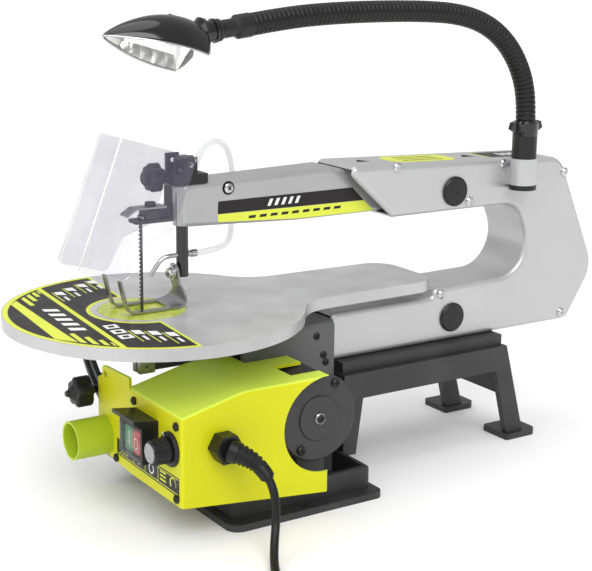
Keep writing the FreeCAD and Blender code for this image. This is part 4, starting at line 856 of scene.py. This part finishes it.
# lamp head: pointed leaf shell, faceted reflector and a clear pane
HEAD = Matrix.Translation(mm(-197.7, -44.6,
                             391.1)) @ Matrix.Rotation(math.radians(16.8), 4, "Y") @ Matrix.Rotation(
    math.radians(-20), 4, "X")
RIM = -4.0


def leaf_section(t, scale, count, low):
    """Cross-section of the leaf-shaped head, tip at t = 0 and gooseneck end at t = 1."""
    x = -42 + 80 * t
    wide = 25.5 * math.sin(0.62 * math.pi * t) ** 0.85 * scale
    high = 33 * math.sin(0.60 * math.pi * t) ** 0.80 * scale
    return [(x, wide * math.cos(math.pi * i / count), low + high * math.sin(math.pi * i / count) ** 0.9)
            for i in range(count + 1)]


def leaf_shell(name, scale, count, steps, look, flat=False, low=RIM, ends=()):
    points, faces = [], []
    sections = [leaf_section(0.004 + 0.996 * j / steps, scale, count, low) for j in range(steps + 1)]
    for x, grow in ends:
        last = sections[steps]
        middle = (-4, low + 20)
        sections.append([(x, middle[0] + (y - middle[0]) * grow, middle[1] + (z - middle[1]) * grow) for _, y,
                         z in last])
    for section in sections:
        points += [tuple(HEAD @ mm(*p)) for p in section]
    row = count + 1
    for j in range(len(sections) - 1):
        for i in range(count):
            faces.append([j * row + i, j * row + i + 1, (j + 1) * row + i + 1, (j + 1) * row + i])
    mesh = from_data(name, points, faces)
    tidy(mesh)
    item = piece(name, mesh, look, "lamp_head", not flat)
    return item


shell = leaf_shell("lamp_leaf", 1.0, 40, 48, "gloss",
                   ends=((40, 0.93), (42.5, 0.8), (45, 0.5)))
solid = shell.modifiers.new("wall", "SOLIDIFY")
solid.thickness = 1.2 * MM
solid.offset = -1
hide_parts("lamp_shell")
bowl = leaf_shell("lamp_facets", 0.93, 9, 7, "bright", True, RIM + 0.4,
                  ends=((38.5, 0.6), (38.7, 0.05)))
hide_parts("reflector")
NECK = (-0.9925, 0, -0.1219)
lathe("lamp_collar", [(9.0, 0.2), (9.8, 0.8), (9.8, 3.0), (8.6, 3.6), (8.6, 9.5), (11.5, 10.2), (12.5, 13.5),
                      (9, 17)],
      "gloss", "lamp_head", (-140.8, -46, 401.2), NECK, 32)
rim_t = [0.004 + 0.996 * j / 40 for j in range(41)]
rim_low = [HEAD @ mm(*leaf_section(t, 1.0, 2, RIM)[2]) for t in reversed(rim_t)]
rim_high = [HEAD @ mm(*leaf_section(t, 1.0, 2, RIM)[0]) for t in rim_t]
ribbed("lamp_rim", rim_low + rim_high[1:], lambda d: 0.75 * MM, "chrome", "lamp_head", 10)
pane_points = [leaf_section(t, 0.97, 2, RIM)[0][:2] for t in rim_t] + [leaf_section(t, 0.97, 2, RIM)[2][:2]
                                                                       for t in reversed(rim_t)]
pane = sheet_on("lamp_pane", [tuple((HEAD @ mm(x, y, RIM + 0.6)) / MM) for x, y in pane_points],
                tuple(HEAD.to_3x3() @ Vector((0, 0, -1))), "lens", "lamp_head", 1.0, -0.2)
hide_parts("lens")
glow = lathe("lamp_bulb", [(1, -2), (5, -1.5), (8, 1), (9, 5), (8, 10), (4, 14)], "glow", "lamp_head",
             tuple((HEAD @ mm(4, 0, 4)) / MM), tuple(HEAD.to_3x3() @ Vector((0, 0, 1))), 24)
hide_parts("bulb")

# ears and collar at the foot of the gooseneck, black ring under the socket
for i, side in enumerate((-1, 1)):
    slab("lamp_ear_%d" % i, [(191 + side * 9, 298), (191 + side * 19, 304), (191 + side * 17, 310),
                             (191 + side * 9, 312)],
         "xz", -48.5, 5, "gloss", "lamp_arm")
lathe("lamp_ear_collar", [(10.6, 296), (12, 298), (12, 309), (10, 311)], "gloss", "lamp_arm",
      (191, -46, 0), (0, 0, 1))
lathe("lamp_socket_ring", [(12.9, 246.5), (12.9, 251), (12.7, 251.2)], "black", "frame",
      (191, -46, 0), (0, 0, 1))

for i, (x, z) in enumerate(((-36, 134), (-28.5, 116), (-26, 109))):
    screw_head("drive_screw_%d" % i, (x, -40.1, z), (0, -1, 0), 3.2, "black", "frame")

# motor cover: centre screw
lathe("motor_hub", [(5.2, 0), (5.2, 1.0), (4.4, 1.8)], "steel", "frame", (-70, -97, 81), (0, -1, 0))
# the hub's slot is a dark sheet: painted shade
sheet_on("motor_hub_slot", [(-74.2, -98.9, 80.4), (-65.8, -98.9, 81.0), (-65.8, -98.9, 81.9),
                            (-74.2, -98.9, 81.3)],
         (0, -1, 0), "painted_recess_shade", "frame", 0.1, 0.0)


# ---------------------------------------------------------------- camera, floor and light

def aim_camera():
    azimuth, elevation, roll = math.radians(-33.16), math.radians(13.88), math.radians(0.69)
    back = Vector((math.sin(azimuth) * math.cos(elevation), -math.cos(azimuth) * math.cos(elevation),
                   math.sin(elevation)))
    right = Vector((0, 0, 1)).cross(back).normalized()
    up = back.cross(right)
    turned_right = right * math.cos(roll) + up * math.sin(roll)
    turned_up = up * math.cos(roll) - right * math.sin(roll)
    data = bpy.data.cameras.new("camera")
    data.lens = 84.16
    data.sensor_width = 36
    data.clip_start = 0.05
    data.clip_end = 20
    camera = bpy.data.objects.new("camera", data)
    bpy.context.scene.collection.objects.link(camera)
    turn = Matrix((turned_right, turned_up, back)).transposed()
    camera.matrix_world = Matrix.Translation(mm(-691.1, -1008.5, 468.5)) @ turn.to_4x4()
    bpy.context.scene.camera = camera


def area_light(name, place, target, size, power, color=(1, 1, 1)):
    data = bpy.data.lights.new(name, "AREA")
    data.shape = "RECTANGLE"
    data.size, data.size_y = size
    data.energy = power
    data.color = color
    item = bpy.data.objects.new(name, data)
    bpy.context.scene.collection.objects.link(item)
    direction = Vector(target) - Vector(place)
    item.matrix_world = Matrix.Translation(place) @ direction.to_track_quat("-Z", "Y").to_matrix().to_4x4()
    return item


aim_camera()
mesh = bpy.data.meshes.new("floor")
mesh.from_pydata([(-30, -30, 0), (30, -30, 0), (30, 30, 0), (-30, 30, 0)], [], [[0, 1, 2, 3]])
floor = bpy.data.objects.new("floor", mesh)
bpy.context.scene.collection.objects.link(floor)
floor_material, tree, shader = new_material("floor_white")
shader.inputs["Base Color"].default_value = (0.95, 0.95, 0.95, 1)
shader.inputs["Roughness"].default_value = 0.9
shader.inputs["Specular IOR Level"].default_value = 0.1
mesh.materials.append(floor_material)

world = bpy.data.worlds.new("world")
bpy.context.scene.world = world
world.use_nodes = True
world.node_tree.nodes["Background"].inputs[0].default_value = (1, 1, 1, 1)
world.node_tree.nodes["Background"].inputs[1].default_value = 0.55


def sun(name, direction, strength, angle):
    data = bpy.data.lights.new(name, "SUN")
    data.energy = strength
    data.angle = math.radians(angle)
    item = bpy.data.objects.new(name, data)
    bpy.context.scene.collection.objects.link(item)
    item.matrix_world = Vector(direction).to_track_quat("-Z", "Y").to_matrix().to_4x4()


sun("key_sun", (0.25, 0.75, -0.75), 1.5, 40)
sun("top_sun", (0.2, -0.15, -1.0), 1.1, 60)
area_light("side", (-1.6, -0.4, 0.9), (0, 0, 0.15), (0.8, 1.2), 5)
scene = bpy.context.scene
scene.view_settings.view_transform = "Standard"
